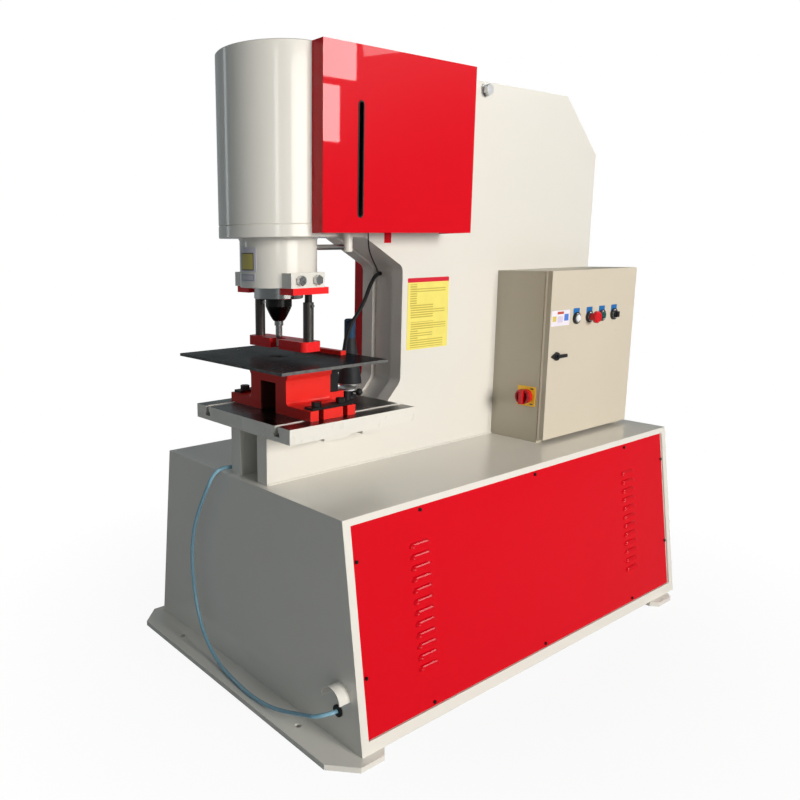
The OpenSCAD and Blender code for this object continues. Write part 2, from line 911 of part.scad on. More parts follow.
module clamp_bolts() {
    color(black) placed() at_clamps() {
        translate([0, 0, clamp_t]) cylinder(d = bolt_af / cos(30), h = bolt_head, $fn = 6);
        rod_z([0, 0, -holder_foot_t - slot_top - clamp_nut_h], clamp_bolt_d,
            holder_foot_t + slot_top + clamp_nut_h + clamp_t);
        box([nut_play - slot_foot_w / 2, -clamp_nut_len / 2, -holder_foot_t - slot_top - clamp_nut_h],
            [slot_foot_w / 2 - nut_play, clamp_nut_len / 2, -holder_foot_t - slot_top]);
    }
}

module support_plate() {
    color(black) placed() difference() {
        box([-sheet_w / 2, -sheet_front, holder_top_z], [sheet_w / 2, sheet_len - sheet_front, sheet_top_z]);
        rod_z([0, 0, holder_top_z - overrun], die_d + 2 * die_gap, sheet_t + 2 * overrun);
    }
}

module back_gauge() {
    color(red) placed() box([-gauge_w / 2, gauge_y, sheet_top_z],
        [gauge_w / 2, gauge_y + gauge_d, sheet_top_z + gauge_h]);
}

module stripper_plate() {
    color(red) placed() translate([0, -strip_front, strip_z]) linear_extrude(strip_t) difference() {
        offset(r = strip_corner, $fn = fine) translate([strip_corner - strip_w / 2, strip_corner])
            square([strip_w - 2 * strip_corner, strip_len - 2 * strip_corner]);
        translate([0, strip_front]) circle(d = notch_w);
        translate([-notch_w / 2, -overrun]) square([notch_w, strip_front + overrun]);
    }
}

module at_posts() {
    for (s = [-1, 1]) translate([s * post_spacing / 2, post_y, 0]) children();
}

module stripper_sleeves() {
    color(black) placed() at_posts() difference() {
        rod_z([0, 0, strip_top_z], sleeve_d, sleeve_h);
        rod_z([0, 0, strip_top_z - overrun], stud_d + 2 * run_fit, sleeve_h + 2 * overrun);
    }
}

module sleeve_screws() {
    color(steel) placed() at_posts()
        difference() {
            rod_x([0, 0, strip_top_z + sleeve_h - sleeve_screw_drop], sleeve_screw_d,
                sleeve_d / 2 + sleeve_screw_h);
            rod_z([0, 0, strip_top_z], sleeve_d, sleeve_h);
        }
}

module stripper_studs() {
    color(black) placed() at_posts()
        rod_z([0, 0, head_z - carrier_t - stud_h], stud_d, stud_h);
}

module carrier_bars() {
    color(red) placed() both_sides()
        box([carrier_in, -carrier_front, head_z - carrier_t], [carrier_out, carrier_len - carrier_front, head_z]);
}

module rod_head() {
    color(cream) placed() difference() {
        union() {
            translate([0, 0, head_z]) rotate_extrude() polygon(concat(
                [[0, 0], [neck_r, 0]],
                [for (k = [0 : 5]) let (a = 90 * k / 5)
                    [neck_r + neck_fillet * (1 - cos(a)), neck_len - neck_fillet + neck_fillet * sin(a)]],
                [[barrel_r - groove, neck_len], [barrel_r, neck_len + groove],
                [barrel_r, neck_len + ring_h - groove], [barrel_r - groove, neck_len + ring_h],
                [0, neck_len + ring_h]]));
            box([-block_w / 2, -block_d / 2, head_z], [block_w / 2, block_d / 2, head_z + block_h]);
        }
        rod_z([0, 0, head_z - overrun], ram_d + 2 * run_fit, neck_len + ring_h + 2 * overrun);
    }
}

module head_bolts() {
    color(steel) placed() both_sides() for (s = [-1, 1])
        translate([block_w / 2, s * head_bolt_gap / 2, head_z + block_h / 2]) rotate([0, 90, 0]) {
            cylinder(d = bolt_af / cos(30), h = bolt_head, $fn = 6);
        }
}

module barrel() {
    color(cream) placed() translate([0, 0, ring_top_z]) rotate_extrude() polygon([
        [bore_d / 2, 0], [barrel_r - groove, 0], [barrel_r, groove], [barrel_r, barrel_len - cap_edge],
        [barrel_r - cap_edge, barrel_len], [bore_d / 2, barrel_len]]);
}

module barrel_cap() {
    color(cream) placed() rod_z([0, 0, top_z - cap_t], bore_d - 2 * seat_fit, cap_t);
}

module piston() {
    g = piston_h / 2 - piston_groove_w / 2;
    color(steel) placed() translate([0, 0, ring_top_z + piston_up]) rotate_extrude() polygon([
        [ram_r - spigot_step, 0], [bore_d / 2 - run_fit, 0], [bore_d / 2 - run_fit, g],
        [bore_d / 2 - piston_groove, g], [bore_d / 2 - piston_groove, g + piston_groove_w],
        [bore_d / 2 - run_fit, g + piston_groove_w], [bore_d / 2 - run_fit, piston_h],
        [ram_r - spigot_step, piston_h]]);
}

module ram() {
    rise = ring_top_z + piston_up - ram_end_z;
    color(steel) placed() translate([0, 0, ram_end_z]) rotate_extrude() polygon([
        [0, -spigot_h], [spigot_d / 2, -spigot_h], [spigot_d / 2, 0], [ram_r - ram_edge, 0],
        [ram_r, ram_edge], [ram_r, rise], [ram_r - spigot_step - seat_fit, rise],
        [ram_r - spigot_step - seat_fit, rise + piston_h], [0, rise + piston_h]]);
}

module coupling_nut() {
    color(black) placed() translate([0, 0, nut_bottom_z]) difference() {
        rotate_extrude() polygon(concat(
            [[collar_d / 2 + seat_fit, 0]],
            [for (k = [0 : 5]) let (s = k / 5)
                [nut_tip_d / 2 + (nut_d - nut_tip_d) / 2 * s, nut_cone * pow(s, cone_share)]],
            [[nut_d / 2, nut_cone + nut_h - ram_edge], [nut_d / 2 - ram_edge, nut_cone + nut_h],
            [spigot_d / 2 + seat_fit, nut_cone + nut_h],
            [spigot_d / 2 + seat_fit, nut_cone + nut_h - spigot_h],
            [punch_head_d / 2 + seat_fit, nut_cone + nut_h - spigot_h],
            [punch_head_d / 2 + seat_fit, nut_lip], [collar_d / 2 + seat_fit, nut_lip]]));
        for (a = [45 : 90 : 315]) rotate([0, 0, a])
            rod_x([nut_d / 2 - nut_lip, 0, nut_cone + nut_h / 2], nut_hole_d, nut_lip + overrun);
    }
}

module punch() {
    top = nut_cone + nut_h - spigot_h;
    low = punch_tip_z - nut_bottom_z;
    color(steel) placed() translate([0, 0, nut_bottom_z]) rotate_extrude() polygon([
        [0, low], [punch_d / 2, low], [punch_d / 2, low + tip_land],
        [shank_d / 2, low + tip_land + tip_taper], [shank_d / 2, -collar_h],
        [collar_d / 2, -collar_h], [collar_d / 2, nut_lip], [punch_head_d / 2, nut_lip],
        [punch_head_d / 2, top], [0, top]]);
}

module pressure_pipe() {
    color(steel) placed() rotate([0, 0, pipe_a]) difference() {
        rod_x([0, 0, head_z + pipe_up], pipe_d, pipe_r);
        rod_z([0, 0, head_z], neck_d, neck_len);
        rod_z([pipe_r, 0, head_z], elbow_d, neck_len + ring_h);
    }
}

module pipe_elbow() {
    z0 = head_z + pipe_up - elbow_low;
    color(cream) placed() translate([pipe_x, pipe_y, z0]) {
        cylinder(d = elbow_d, h = elbow_h);
        cylinder(d = riser_d, h = riser_up);
        translate([-riser_bend, 0, riser_up]) rotate([90, 0, 0])
            rotate_extrude(angle = 90) translate([riser_bend, 0]) circle(d = riser_d, $fn = fine);
        rod_x([cab_x - pipe_x, 0, riser_up + riser_bend], riser_d, pipe_x - cab_x - riser_bend);
    }
}

module stroke_cover() {
    color(red) placed() {
        difference() {
            box([cab_x, cover_y0, cover_z], [cover_x, cover_y0 + cover_len, cover_z + cover_h]);
            box([cab_x - overrun, cover_y0 + cover_t, cover_z - overrun],
                [cover_x - cover_t, cover_y0 + cover_len - cover_t, cover_z + cover_h - cover_t]);
            rod_z([0, 0, cover_z - overrun], barrel_d + 2 * barrel_gap, cover_h + 2 * overrun);
            translate([cover_x - cover_t - overrun, view_y, cover_z + view_low]) {
                rod_x([0, 0, 0], view_w, cover_t + 2 * overrun);
                rod_x([0, 0, view_len - view_w], view_w, cover_t + 2 * overrun);
                box([0, -view_w / 2, 0], [cover_t + 2 * overrun, view_w / 2, view_len - view_w]);
            }
        }
        box([cab_x, tab_y, cover_z + tab_shelf - cover_t],
            [cover_x - cover_t / 2, tab_y + tab_w, cover_z + tab_shelf]);
        box([cab_x, tab_y, cover_z - tab_drop], [cab_x + cover_t, tab_y + tab_w, cover_z + tab_shelf]);
    }
}

module limit_switches() {
    color(black) placed() for (s = limit_shares)
        box([cab_x, limit_y, cover_z + s * cover_h],
            [cab_x + limit_d, limit_y + limit_w, cover_z + s * cover_h + limit_h]);
}

module left_cover() {
    x1 = -frame_w / 2;
    color(red) placed() difference() {
        box([x1 - left_d, left_y, base_top_z + left_low], [x1, left_y + left_len, base_top_z + left_low + left_h]);
        box([x1 - left_d + cover_t, left_y + cover_t, base_top_z + left_low + cover_t],
            [x1 + overrun, left_y + left_len - cover_t, base_top_z + left_low + left_h - cover_t]);
    }
}

module cabinet_body() {
    color(beige) placed() {
        difference() {
            box([cab_x, cab_y, cab_z], [cab_front_x, cab_back, cab_z + cab_h]);
            box([cab_x + cab_t, cab_y + cab_t, cab_z + cab_t],
                [cab_front_x - cab_t, cab_back - cab_t, cab_z + cab_h - cab_t]);
            box([cab_front_x - cab_t - overrun, cab_y + cab_lip, cab_z + cab_lip],
                [cab_front_x + overrun, cab_back - cab_lip, cab_z + cab_h - cab_lip]);
            rod_y([cab_x + switch_x, cab_y - overrun, cab_z + switch_up], switch_neck_d + 2 * seat_fit,
                cab_t + 2 * overrun);
        }
        for (y = [cab_y, cab_back - cab_rail])
            box([cab_x, y, base_top_z], [cab_front_x, y + cab_rail, cab_z]);
    }
}

module at_buttons() {
    for (i = [0 : 3]) translate([door_face_x, cab_y + button_y + i * button_pitch, cab_z + button_up]) children();
}

module at_lock() { translate([door_face_x, cab_y + lock_in, cab_z + lock_up]) children(); }

module at_hinges() {
    for (s = hinge_shares) translate([hinge_x, hinge_y, cab_z + s * cab_h]) children();
}

module cabinet_door() {
    color(beige) placed() difference() {
        union() {
            difference() {
                box([door_x, cab_y, cab_z], [door_face_x, cab_back, cab_z + cab_h]);
                box([door_x - overrun, cab_y + cab_t, cab_z + cab_t],
                    [door_face_x - cab_t, cab_back - cab_t, cab_z + cab_h - cab_t]);
            }
            at_hinges() {
                rod_z([0, 0, hinge_gap], 2 * hinge_r, hinge_h);
                box([-hinge_web / 2, -hinge_out, hinge_gap], [hinge_web / 2, 0, hinge_gap + hinge_h]);
            }
        }
        at_hinges() rod_z([0, 0, 0], hinge_pin_d + 2 * hinge_fit, hinge_h + overrun);
        at_buttons() rod_x([-cab_t - overrun, 0, 0], hole_d + 2 * seat_fit, cab_t + 2 * overrun);
        at_lock() rod_x([-cab_t - overrun, 0, 0], lock_neck_d + 2 * hand_fit, cab_t + 2 * overrun);
    }
}

module door_hinges() {
    color(steel) placed() at_hinges() {
        rod_z([0, 0, -hinge_h], 2 * hinge_r, hinge_h);
        rod_z([0, 0, -hinge_h], hinge_pin_d, 2 * hinge_h);
        box([-hinge_leaf, hinge_web / 2 - hinge_out, -hinge_h], [-hinge_r / 2, 0, 0]);
        box([-hinge_leaf, -hinge_out, -hinge_h], [cab_front_x - hinge_x, 0, 0]);
    }
}

module door_lock() {
    color(black) placed() at_lock() {
        rod_x([hand_fit, 0, 0], lock_d, lock_t);
        rod_x([-lock_neck, 0, 0], lock_neck_d, lock_neck + lock_t);
        box([lock_t, -lock_lever_w / 2, -lock_lever_w / 2], [lock_t + lock_lever_t, lock_lever, lock_lever_w / 2]);
    }
}

module mounting_plate() {
    x0 = cab_x + cab_t;
    color(steel) placed() {
        box([x0 + board_off, cab_y + board_in, cab_z + board_in],
            [x0 + board_off + board_t, cab_back - board_in, cab_z + cab_h - board_in]);
        for (y = [cab_y + 2 * board_in, cab_back - 2 * board_in])
            for (z = [cab_z + 2 * board_in, cab_z + cab_h - 2 * board_in])
                rod_x([x0, y, z], board_stud_d, board_off);
    }
}

module contactors() {
    x0 = cab_x + cab_t + board_off + board_t;
    color(black) placed() for (i = [0 : 4])
        box([x0, cab_y + device_first + i * device_gap, cab_z + device_up],
            [x0 + device_d, cab_y + device_first + i * device_gap + device_w, cab_z + device_up + device_h]);
}

module at_switch() { translate([cab_x + switch_x, cab_y, cab_z + switch_up]) children(); }

module switch_plate() {
    color("#e8c81e") placed() at_switch() difference() {
        union() {
            box([-switch_w / 2, -switch_t, -switch_w / 2], [switch_w / 2, 0, switch_w / 2]);
            box([-switch_block / 2, cab_t, -switch_block / 2],
                [switch_block / 2, cab_t + switch_block_len, switch_block / 2]);
            rod_y([0, -switch_t, 0], switch_neck_d, switch_t + cab_t + overrun);
        }
        rod_y([0, -switch_t - overrun, 0], knob_stem_d + 2 * hand_fit, switch_t + cab_t + switch_block_len / 2);
    }
}

module switch_knob() {
    color(red) placed() at_switch() {
        rod_y([0, -switch_t - hand_fit - knob_t, 0], knob_d, knob_t);
        box([-knob_bar_w / 2, -switch_t - hand_fit - knob_t - knob_bar_t, -knob_d / 2],
            [knob_bar_w / 2, -switch_t - hand_fit - knob_t, knob_d / 2]);
        rod_y([0, -switch_t - hand_fit, 0], knob_stem_d, switch_t + cab_t + switch_block_len / 4);
    }
}

module button_bezels() {
    color(black) placed() at_buttons() difference() {
        union() {
            rod_x([0, 0, 0], button_d + 2 * ring_wall + 2 * ring_wall, ring_out);
            rod_x([-block_back, 0, 0], hole_d, block_back);
            box([-block_back - block_len, -block_w2 / 2, -block_w2 / 2], [-block_back, block_w2 / 2, block_w2 / 2]);
        }
        rod_x([-block_back, 0, 0], button_d + 2 * hand_fit, block_back + ring_out + overrun);
    }
}

module at_button(i) {
    translate([door_face_x, cab_y + button_y + i * button_pitch, cab_z + button_up]) children();
}

module push_cap() {
    translate([-cap_in, 0, 0]) rotate([0, 90, 0]) rotate_extrude() polygon([
        [0, 0], [button_d / 2, 0], [button_d / 2, cap_in + cap_out - ram_edge],
        [button_d / 2 - ram_edge, cap_in + cap_out], [0, cap_in + cap_out]]);
}

module white_button() { color("#f2f2f2") placed() at_button(0) push_cap(); }

module stop_button() {
    color(red) placed() at_button(1) translate([-cap_in, 0, 0]) rotate([0, 90, 0])
        rotate_extrude() polygon([
            [0, 0], [button_d / 2, 0], [button_d / 2, cap_in + stop_out],
            [stop_d / 2 - stop_edge, cap_in + stop_out], [stop_d / 2, cap_in + stop_out + stop_edge],
            [stop_d / 2, cap_in + stop_out + stop_head - stop_edge],
            [stop_d / 2 - stop_edge, cap_in + stop_out + stop_head], [0, cap_in + stop_out + stop_head]]);
}

module green_button() { color("#1c8f3c") placed() at_button(2) push_cap(); }

module selector_knob() {
    color(black) placed() at_button(3) {
        rod_x([-cap_in, 0, 0], button_d, cap_in + cap_out);
        box([cap_out, -selector_bar / 2, -button_d / 2 + ram_edge],
            [cap_out + selector_bar_h, selector_bar / 2, button_d / 2 - ram_edge]);
    }
}

module at_lamp() { translate([lamp_x, lamp_y, table_top_z]) children(); }

module lamp_shade() {
    top = lamp_h;
    neck = lamp_h - shade_cap_h;
    mouth = neck - shade_h;
    color("#24344f") placed() at_lamp() rotate_extrude() polygon([
        [shade_d / 2 - shade_t, mouth], [shade_d / 2, mouth], [shade_neck_d / 2, neck],
        [shade_neck_d / 2, top - shade_edge], [shade_neck_d / 2 - shade_edge, top], [0, top],
        [0, neck], [shade_neck_d / 2 - shade_t, neck]]);
}

module lamp_bezel() {
    neck = lamp_h - shade_cap_h;
    mouth = neck - shade_h;
    color(steel) placed() at_lamp() rotate_extrude() polygon([
        [0, mouth - bezel_h], [bezel_d / 2, mouth - bezel_h], [shade_d / 2, mouth - bezel_h / 2],
        [shade_d / 2, mouth], [0, mouth]]);
    color(steel) placed() translate([dish_x, dish_y, table_top_z + dish_up]) rotate_extrude() polygon(concat(
        [[0, 0]], [for (k = [0 : 6]) let (a = 90 * k / 6) [dish_d / 2 * cos(a), dish_h * sin(a)]]));
}

module lamp_foot() {
    mouth = lamp_h - shade_cap_h - shade_h;
    color(black) placed() at_lamp() {
        cylinder(d = lamp_foot_d, h = lamp_foot_t);
        cylinder(d = lamp_stem_d, h = mouth - bezel_h);
        translate([dish_x - lamp_x, dish_y - lamp_y, 0]) {
            cylinder(d = lamp_foot_d, h = lamp_foot_t);
            cylinder(d = lamp_stem_d, h = dish_up);
        }
        rod_x([0, 0, (mouth - bezel_h + lamp_foot_t) / 2], lamp_knob_stem, lamp_knob_out);
        translate([lamp_knob_out, 0, (mouth - bezel_h + lamp_foot_t) / 2]) sphere(d = lamp_knob_d - ram_edge);
    }
}

module lamp_conduit() { color(black) placed() cord(conduit_route, conduit_d, short_steps, [1, 0, 0]); }

module blue_hose() { color(blue) placed() cord(hose_route, hose_d, hose_steps, [1, 0, 0]); }

module switch_cable() { color(black) placed() cord(cable_route, cable_d, short_steps, [1, 0, 0]); }

module hose_fittings() {
    color(black) placed() {
        rod_z([hose_fit_x, hose_fit_y, base_top_z], hose_fit_d, hose_fit_h);
        rod_y([hose_fit_x, hose_fit_y - hose_fit_d, base_top_z + hose_fit_h / 2], nozzle_d, hose_fit_d);
        rod_y([grommet_x, -base_front, grommet_z], grommet_d, base_wall);
        rod_y([grommet_x, -base_front - grommet_out, grommet_z], grommet_d + 2 * grommet_out, grommet_out);
        along_y(holder_back, socket_len) offset(delta = socket_edge, chamfer = true)
            translate([socket_in + socket_edge, table_top_z + lug_h + socket_edge])
                square([socket_out - socket_in - 2 * socket_edge,
                    holder_h - lug_h - socket_drop - 2 * socket_edge]);
    }
}

module cable_shroud() {
    color(cream) placed() difference() {
        along_y(-base_front - shroud_len, shroud_len) difference() {
            translate([hood_x, shroud_z]) circle(r = shroud_r);
            translate([hood_x, shroud_z]) circle(r = shroud_r - shroud_t);
            translate([hood_x - shroud_r - overrun, shroud_z - shroud_r - overrun])
                square([2 * shroud_r + 2 * overrun, shroud_r + overrun]);
        }
    }
}

module oil_tank() {
    z0 = foot_t + base_wall;
    color(steel) placed() difference() {
        box([-tank_w / 2, tank_y, z0], [tank_w / 2, tank_y + tank_len, z0 + tank_h]);
        box([tank_edge - tank_w / 2, tank_y + tank_edge, z0 + tank_edge],
            [tank_w / 2 - tank_edge, tank_y + tank_len - tank_edge, z0 + tank_h - tank_edge]);
    }
}

module pump_motor() {
    z0 = foot_t + base_wall;
    color(steel) placed() {
        rod_y([0, motor_y, z0 + motor_lift], motor_d, motor_len);
        rod_y([0, motor_y - pump_len, z0 + motor_lift], pump_d, pump_len);
        box([-motor_foot_w / 2, motor_y, z0], [motor_foot_w / 2, motor_y + motor_len, z0 + motor_lift / 2]);
        for (i = [0 : fin_count - 1]) translate([0, motor_y + motor_foot_t, z0 + motor_lift])
            rotate([0, 360 * i / fin_count, 0])
                box([-fin_w / 2, 0, 0], [fin_w / 2, motor_len - 2 * motor_foot_t, motor_d / 2 + fin_h]);
    }
}

base_housing();
front_foot();
rear_foot();
right_panel();
left_panel();
panel_screws();
frame_right_plate();
frame_left_plate();
throat_web();
frame_back_plate();
tie_bolt();
table();
table_supports();
die_holder();
die();
clamp_strips();
clamp_bolts();
support_plate();
back_gauge();
stripper_plate();
stripper_sleeves();
sleeve_screws();
stripper_studs();
carrier_bars();
rod_head();
head_bolts();
barrel();
barrel_cap();
piston();
ram();
coupling_nut();
punch();
pressure_pipe();
pipe_elbow();
stroke_cover();
limit_switches();
left_cover();
cabinet_body();
cabinet_door();
door_hinges();
door_lock();
mounting_plate();
contactors();
switch_plate();
switch_knob();
button_bezels();
white_button();
stop_button();
green_button();
selector_knob();
lamp_shade();
lamp_bezel();
lamp_foot();
lamp_conduit();
blue_hose();
switch_cable();
hose_fittings();
cable_shroud();
oil_tank();
pump_motor();
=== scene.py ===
"""Looks of a hydraulic punching machine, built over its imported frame. Blender's lengths are metres."""
import json
import math
import bpy
import bmesh
from mathutils import Matrix, Vector

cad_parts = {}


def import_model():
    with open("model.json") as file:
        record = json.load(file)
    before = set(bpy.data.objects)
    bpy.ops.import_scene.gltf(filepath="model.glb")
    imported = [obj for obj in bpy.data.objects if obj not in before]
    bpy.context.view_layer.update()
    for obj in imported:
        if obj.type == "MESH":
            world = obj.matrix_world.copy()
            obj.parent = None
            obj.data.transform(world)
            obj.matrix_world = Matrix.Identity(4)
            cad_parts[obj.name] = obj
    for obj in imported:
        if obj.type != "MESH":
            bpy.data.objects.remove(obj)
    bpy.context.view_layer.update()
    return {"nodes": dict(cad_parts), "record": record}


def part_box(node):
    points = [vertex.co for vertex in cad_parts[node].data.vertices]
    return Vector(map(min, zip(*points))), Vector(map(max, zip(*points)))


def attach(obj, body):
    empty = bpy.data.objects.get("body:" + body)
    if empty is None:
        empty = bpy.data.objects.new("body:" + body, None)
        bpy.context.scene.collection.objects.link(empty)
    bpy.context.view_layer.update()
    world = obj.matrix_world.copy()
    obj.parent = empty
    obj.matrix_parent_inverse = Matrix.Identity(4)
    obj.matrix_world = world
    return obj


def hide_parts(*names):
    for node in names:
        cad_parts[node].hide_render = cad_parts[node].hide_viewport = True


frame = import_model()
NODES = frame["nodes"]
MM = 1000.0
PUNCH_Y = 595.0


def at(x, y, z):
    """A point in millimetres from the punch axis and the floor, in the row frame."""
    return Vector((x / MM, (y - PUNCH_Y) / MM, z / MM))


def add(name, data):
    o = bpy.data.objects.new(name, data)
    bpy.context.scene.collection.objects.link(o)
    return o


# Node trees
class Tree:
    """A node tree with short ways to add and join nodes."""

    def __init__(self, tree):
        self.t = tree

    def node(self, kind, **props):
        n = self.t.nodes.new(kind)
        for k, v in props.items():
            setattr(n, k, v)
        return n

    def link(self, a, b):
        self.t.links.new(a, b)

    def put(self, socket, value):
        """Links a socket to another one, or sets it to a plain value."""
        if hasattr(value, "is_linked"):
            self.link(value, socket)
        else:
            socket.default_value = value

    def span(self, fac, lo, hi, a=0.0, b=1.0):
        """Maps the range from lo to hi onto the one from a to b."""
        n = self.node("ShaderNodeMapRange")
        for i, v in enumerate((lo, hi, a, b)):
            n.inputs[i + 1].default_value = v
        self.link(fac, n.inputs[0])
        return n.outputs[0]

    def math(self, op, a, b=0.0):
        n = self.node("ShaderNodeMath", operation=op)
        self.put(n.inputs[0], a)
        self.put(n.inputs[1], b)
        return n.outputs[0]

    def along(self, vec, direction):
        """How far a vector reaches along a direction."""
        n = self.node("ShaderNodeVectorMath", operation="DOT_PRODUCT")
        self.link(vec, n.inputs[0])
        n.inputs[1].default_value = direction
        return n.outputs["Value"]

    def blend(self, fac, a, b):
        """A number from a to b."""
        n = self.node("ShaderNodeMix")
        for i, v in zip((0, 2, 3), (fac, a, b)):
            self.put(n.inputs[i], v)
        return n.outputs[0]

    def mix(self, fac, a, b):
        """A colour from a to b."""
        n = self.node("ShaderNodeMix", data_type="RGBA")
        self.put(n.inputs[0], fac)
        for i, v in ((6, a), (7, b)):
            self.put(n.inputs[i], v if hasattr(v, "is_linked") else (*v, 1))
        return n.outputs[2]

    def rays(self):
        """One on camera and clear rays, and one on reflected rays."""
        path = self.node("ShaderNodeLightPath").outputs
        clear = self.math("MAXIMUM", path["Is Camera Ray"], path["Is Transmission Ray"])
        return clear, path["Is Glossy Ray"]


class Mat(Tree):
    """A node material with its shader."""

    def __init__(self, name, color, rough=0.4, metal=0.0, **sockets):
        self.m = bpy.data.materials.new(name)
        self.m.use_nodes = True
        super().__init__(self.m.node_tree)
        self.s = self.t.nodes["Principled BSDF"]
        self.s.inputs["Base Color"].default_value = (*color, 1)
        self.s.inputs["Roughness"].default_value = rough
        self.s.inputs["Metallic"].default_value = metal
        for k, v in sockets.items():
            self.s.inputs[k.replace("_", " ")].default_value = v
        self.m.diffuse_color = (*color, 1)
        self.co = self.node("ShaderNodeTexCoord").outputs["Object"]

    def stretch(self, x, y, z):
        n = self.node("ShaderNodeMapping")
        n.inputs["Scale"].default_value = (x, y, z)
        self.link(self.co, n.inputs["Vector"])
        return n.outputs["Vector"]

    def noise(self, scale, detail=3.0, rough=0.5, vec=None):
        n = self.node("ShaderNodeTexNoise")
        n.inputs["Scale"].default_value = scale
        n.inputs["Detail"].default_value = detail
        n.inputs["Roughness"].default_value = rough
        self.link(vec or self.co, n.inputs["Vector"])
        return n.outputs["Fac"]

    def bump(self, height, strength, distance, prior=None):
        n = self.node("ShaderNodeBump")
        n.inputs["Strength"].default_value = strength
        n.inputs["Distance"].default_value = distance
        self.link(height, n.inputs["Height"])
        if prior is not None:
            self.link(prior, n.inputs["Normal"])
        return n.outputs["Normal"]

    def base(self, c):
        self.link(c, self.s.inputs["Base Color"])

    def over(self, mask, color):
        """Lays a colour over what the base colour is so far."""
        self.base(self.mix(mask, self.s.inputs["Base Color"].links[0].from_socket, color))

    def rough(self, r):
        self.link(r, self.s.inputs["Roughness"])

    def normal(self, n):
        self.link(n, self.s.inputs["Normal"])

    def place(self):
        """The x, y and z of a point, in metres in the row frame."""
        n = self.node("ShaderNodeSeparateXYZ")
        self.link(self.co, n.inputs[0])
        return n.outputs

    def upward(self, level=0.7):
        """One where the surface faces up."""
        n = self.node("ShaderNodeSeparateXYZ")
        self.link(self.node("ShaderNodeNewGeometry").outputs["Normal"], n.inputs[0])
        return self.math("GREATER_THAN", n.outputs[2], level)

    def inside(self, value, lo, hi):
        """One where a value lies between two others."""
        return self.math("MULTIPLY", self.math("GREATER_THAN", value, lo), self.math("LESS_THAN", value, hi))


# Kinds of finish
def tint(c, k):
    return tuple(max(0.0, min(1.0, v * k)) for v in c)


def paint(name, color, rough=0.3, coat=0.3, peel=0.10, wave=0.03, grime=0.012, spec=0.5, shine=0.08):
    """Sprayed paint: orange peel, a slight waviness of the plate and faint handling marks."""
    m = Mat(name, color, rough, Coat_Weight=coat, Coat_Roughness=shine, Specular_IOR_Level=spec)
    cloud = m.noise(3.2, 4.0, 0.55)
    fine = m.noise(38.0, 5.0, 0.6)
    c = m.mix(m.span(cloud, 0.35, 0.7), color, tint(color, 1.0 - grime * 0.5))
    c = m.mix(m.span(fine, 0.6, 0.78), c, tint(color, 1.0 - grime))
    m.base(c)
    m.rough(m.span(m.noise(5.0, 2.0, 0.5), 0.3, 0.75, rough * 0.97, rough * 1.04))
    n = m.bump(m.noise(4.0, 1.0, 0.4), wave, 0.004)
    m.normal(m.bump(m.noise(420.0, 2.0, 0.5), peel, 0.0004, n))
    return m


def steel(name, color, rough=0.3, grain=(1.0, 1.0, 60.0), scratch=0.2):
    """Machined steel with a fine grain along one direction."""
    m = Mat(name, color, rough, 1.0)
    g = m.noise(24.0, 6.0, 0.65, m.stretch(*grain))
    m.base(m.mix(m.span(g, 0.3, 0.75), tint(color, 0.82), tint(color, 1.1)))
    m.rough(m.span(m.noise(14.0, 4.0, 0.6), 0.3, 0.7, rough * 0.75, rough * 1.35))
    m.normal(m.bump(g, scratch, 0.0003))
    return m


def plastic(name, color, rough=0.35, grain=0.12, **sockets):
    """Moulded plastic with a light grain."""
    m = Mat(name, color, rough, 0.0, **sockets)
    f = m.noise(900.0, 2.0, 0.5)
    m.base(m.mix(m.span(m.noise(60.0, 3.0), 0.35, 0.7), tint(color, 0.94), tint(color, 1.04)))
    m.rough(m.span(f, 0.3, 0.7, rough * 0.85, rough * 1.2))
    m.normal(m.bump(f, grain, 0.0002))
    return m


CREAM = (0.760, 0.728, 0.668)
RED = (0.635, 0.001, 0.009)
CASTING_RED = (0.860, 0.030, 0.022)
STRIPPER_RED = (0.930, 0.020, 0.022)
# Painted shade for the inside of the slug tunnel
TUNNEL_PAINTED_SHADE_RED = (0.110, 0.024, 0.018)
BEIGE = (0.615, 0.545, 0.438)
# Painted shade: a darker copy of the beige powder coat for the cabinet body, which wears the same paint as the
# door
BEIGE_IN_PAINTED_SHADE = (0.520, 0.474, 0.378)
# Painted shade for the door's folded edge that faces away from the light
BEIGE_EDGE_IN_PAINTED_SHADE = (0.440, 0.400, 0.320)
CASTING = dict(rough=0.36, coat=0.15, peel=0.3, wave=0.35, grime=0.15, spec=0.25)
STRIPPER = dict(rough=0.34, coat=0.15, peel=0.2, wave=0.25, grime=0.1, spec=0.25)
POWDER = dict(rough=0.42, coat=0.1, peel=0.25, grime=0.05)
GLOSSY_RED = dict(rough=0.3, coat=0.55, peel=0.02, wave=0.02, grime=0.04, spec=0.05, shine=0.02)
POLISHED = dict(rough=0.2, coat=0.75, peel=0.02, wave=0.015, shine=0.02)

cream = paint("cream_paint", CREAM, coat=0.5, shine=0.03)
barrel_cream = paint("polished_cream_paint", CREAM, **POLISHED)
red = paint("red_paint", RED, **GLOSSY_RED)
dull_red = paint("red_casting_paint", CASTING_RED, **CASTING)
bright_red = paint("red_stripper_paint", STRIPPER_RED, **STRIPPER)
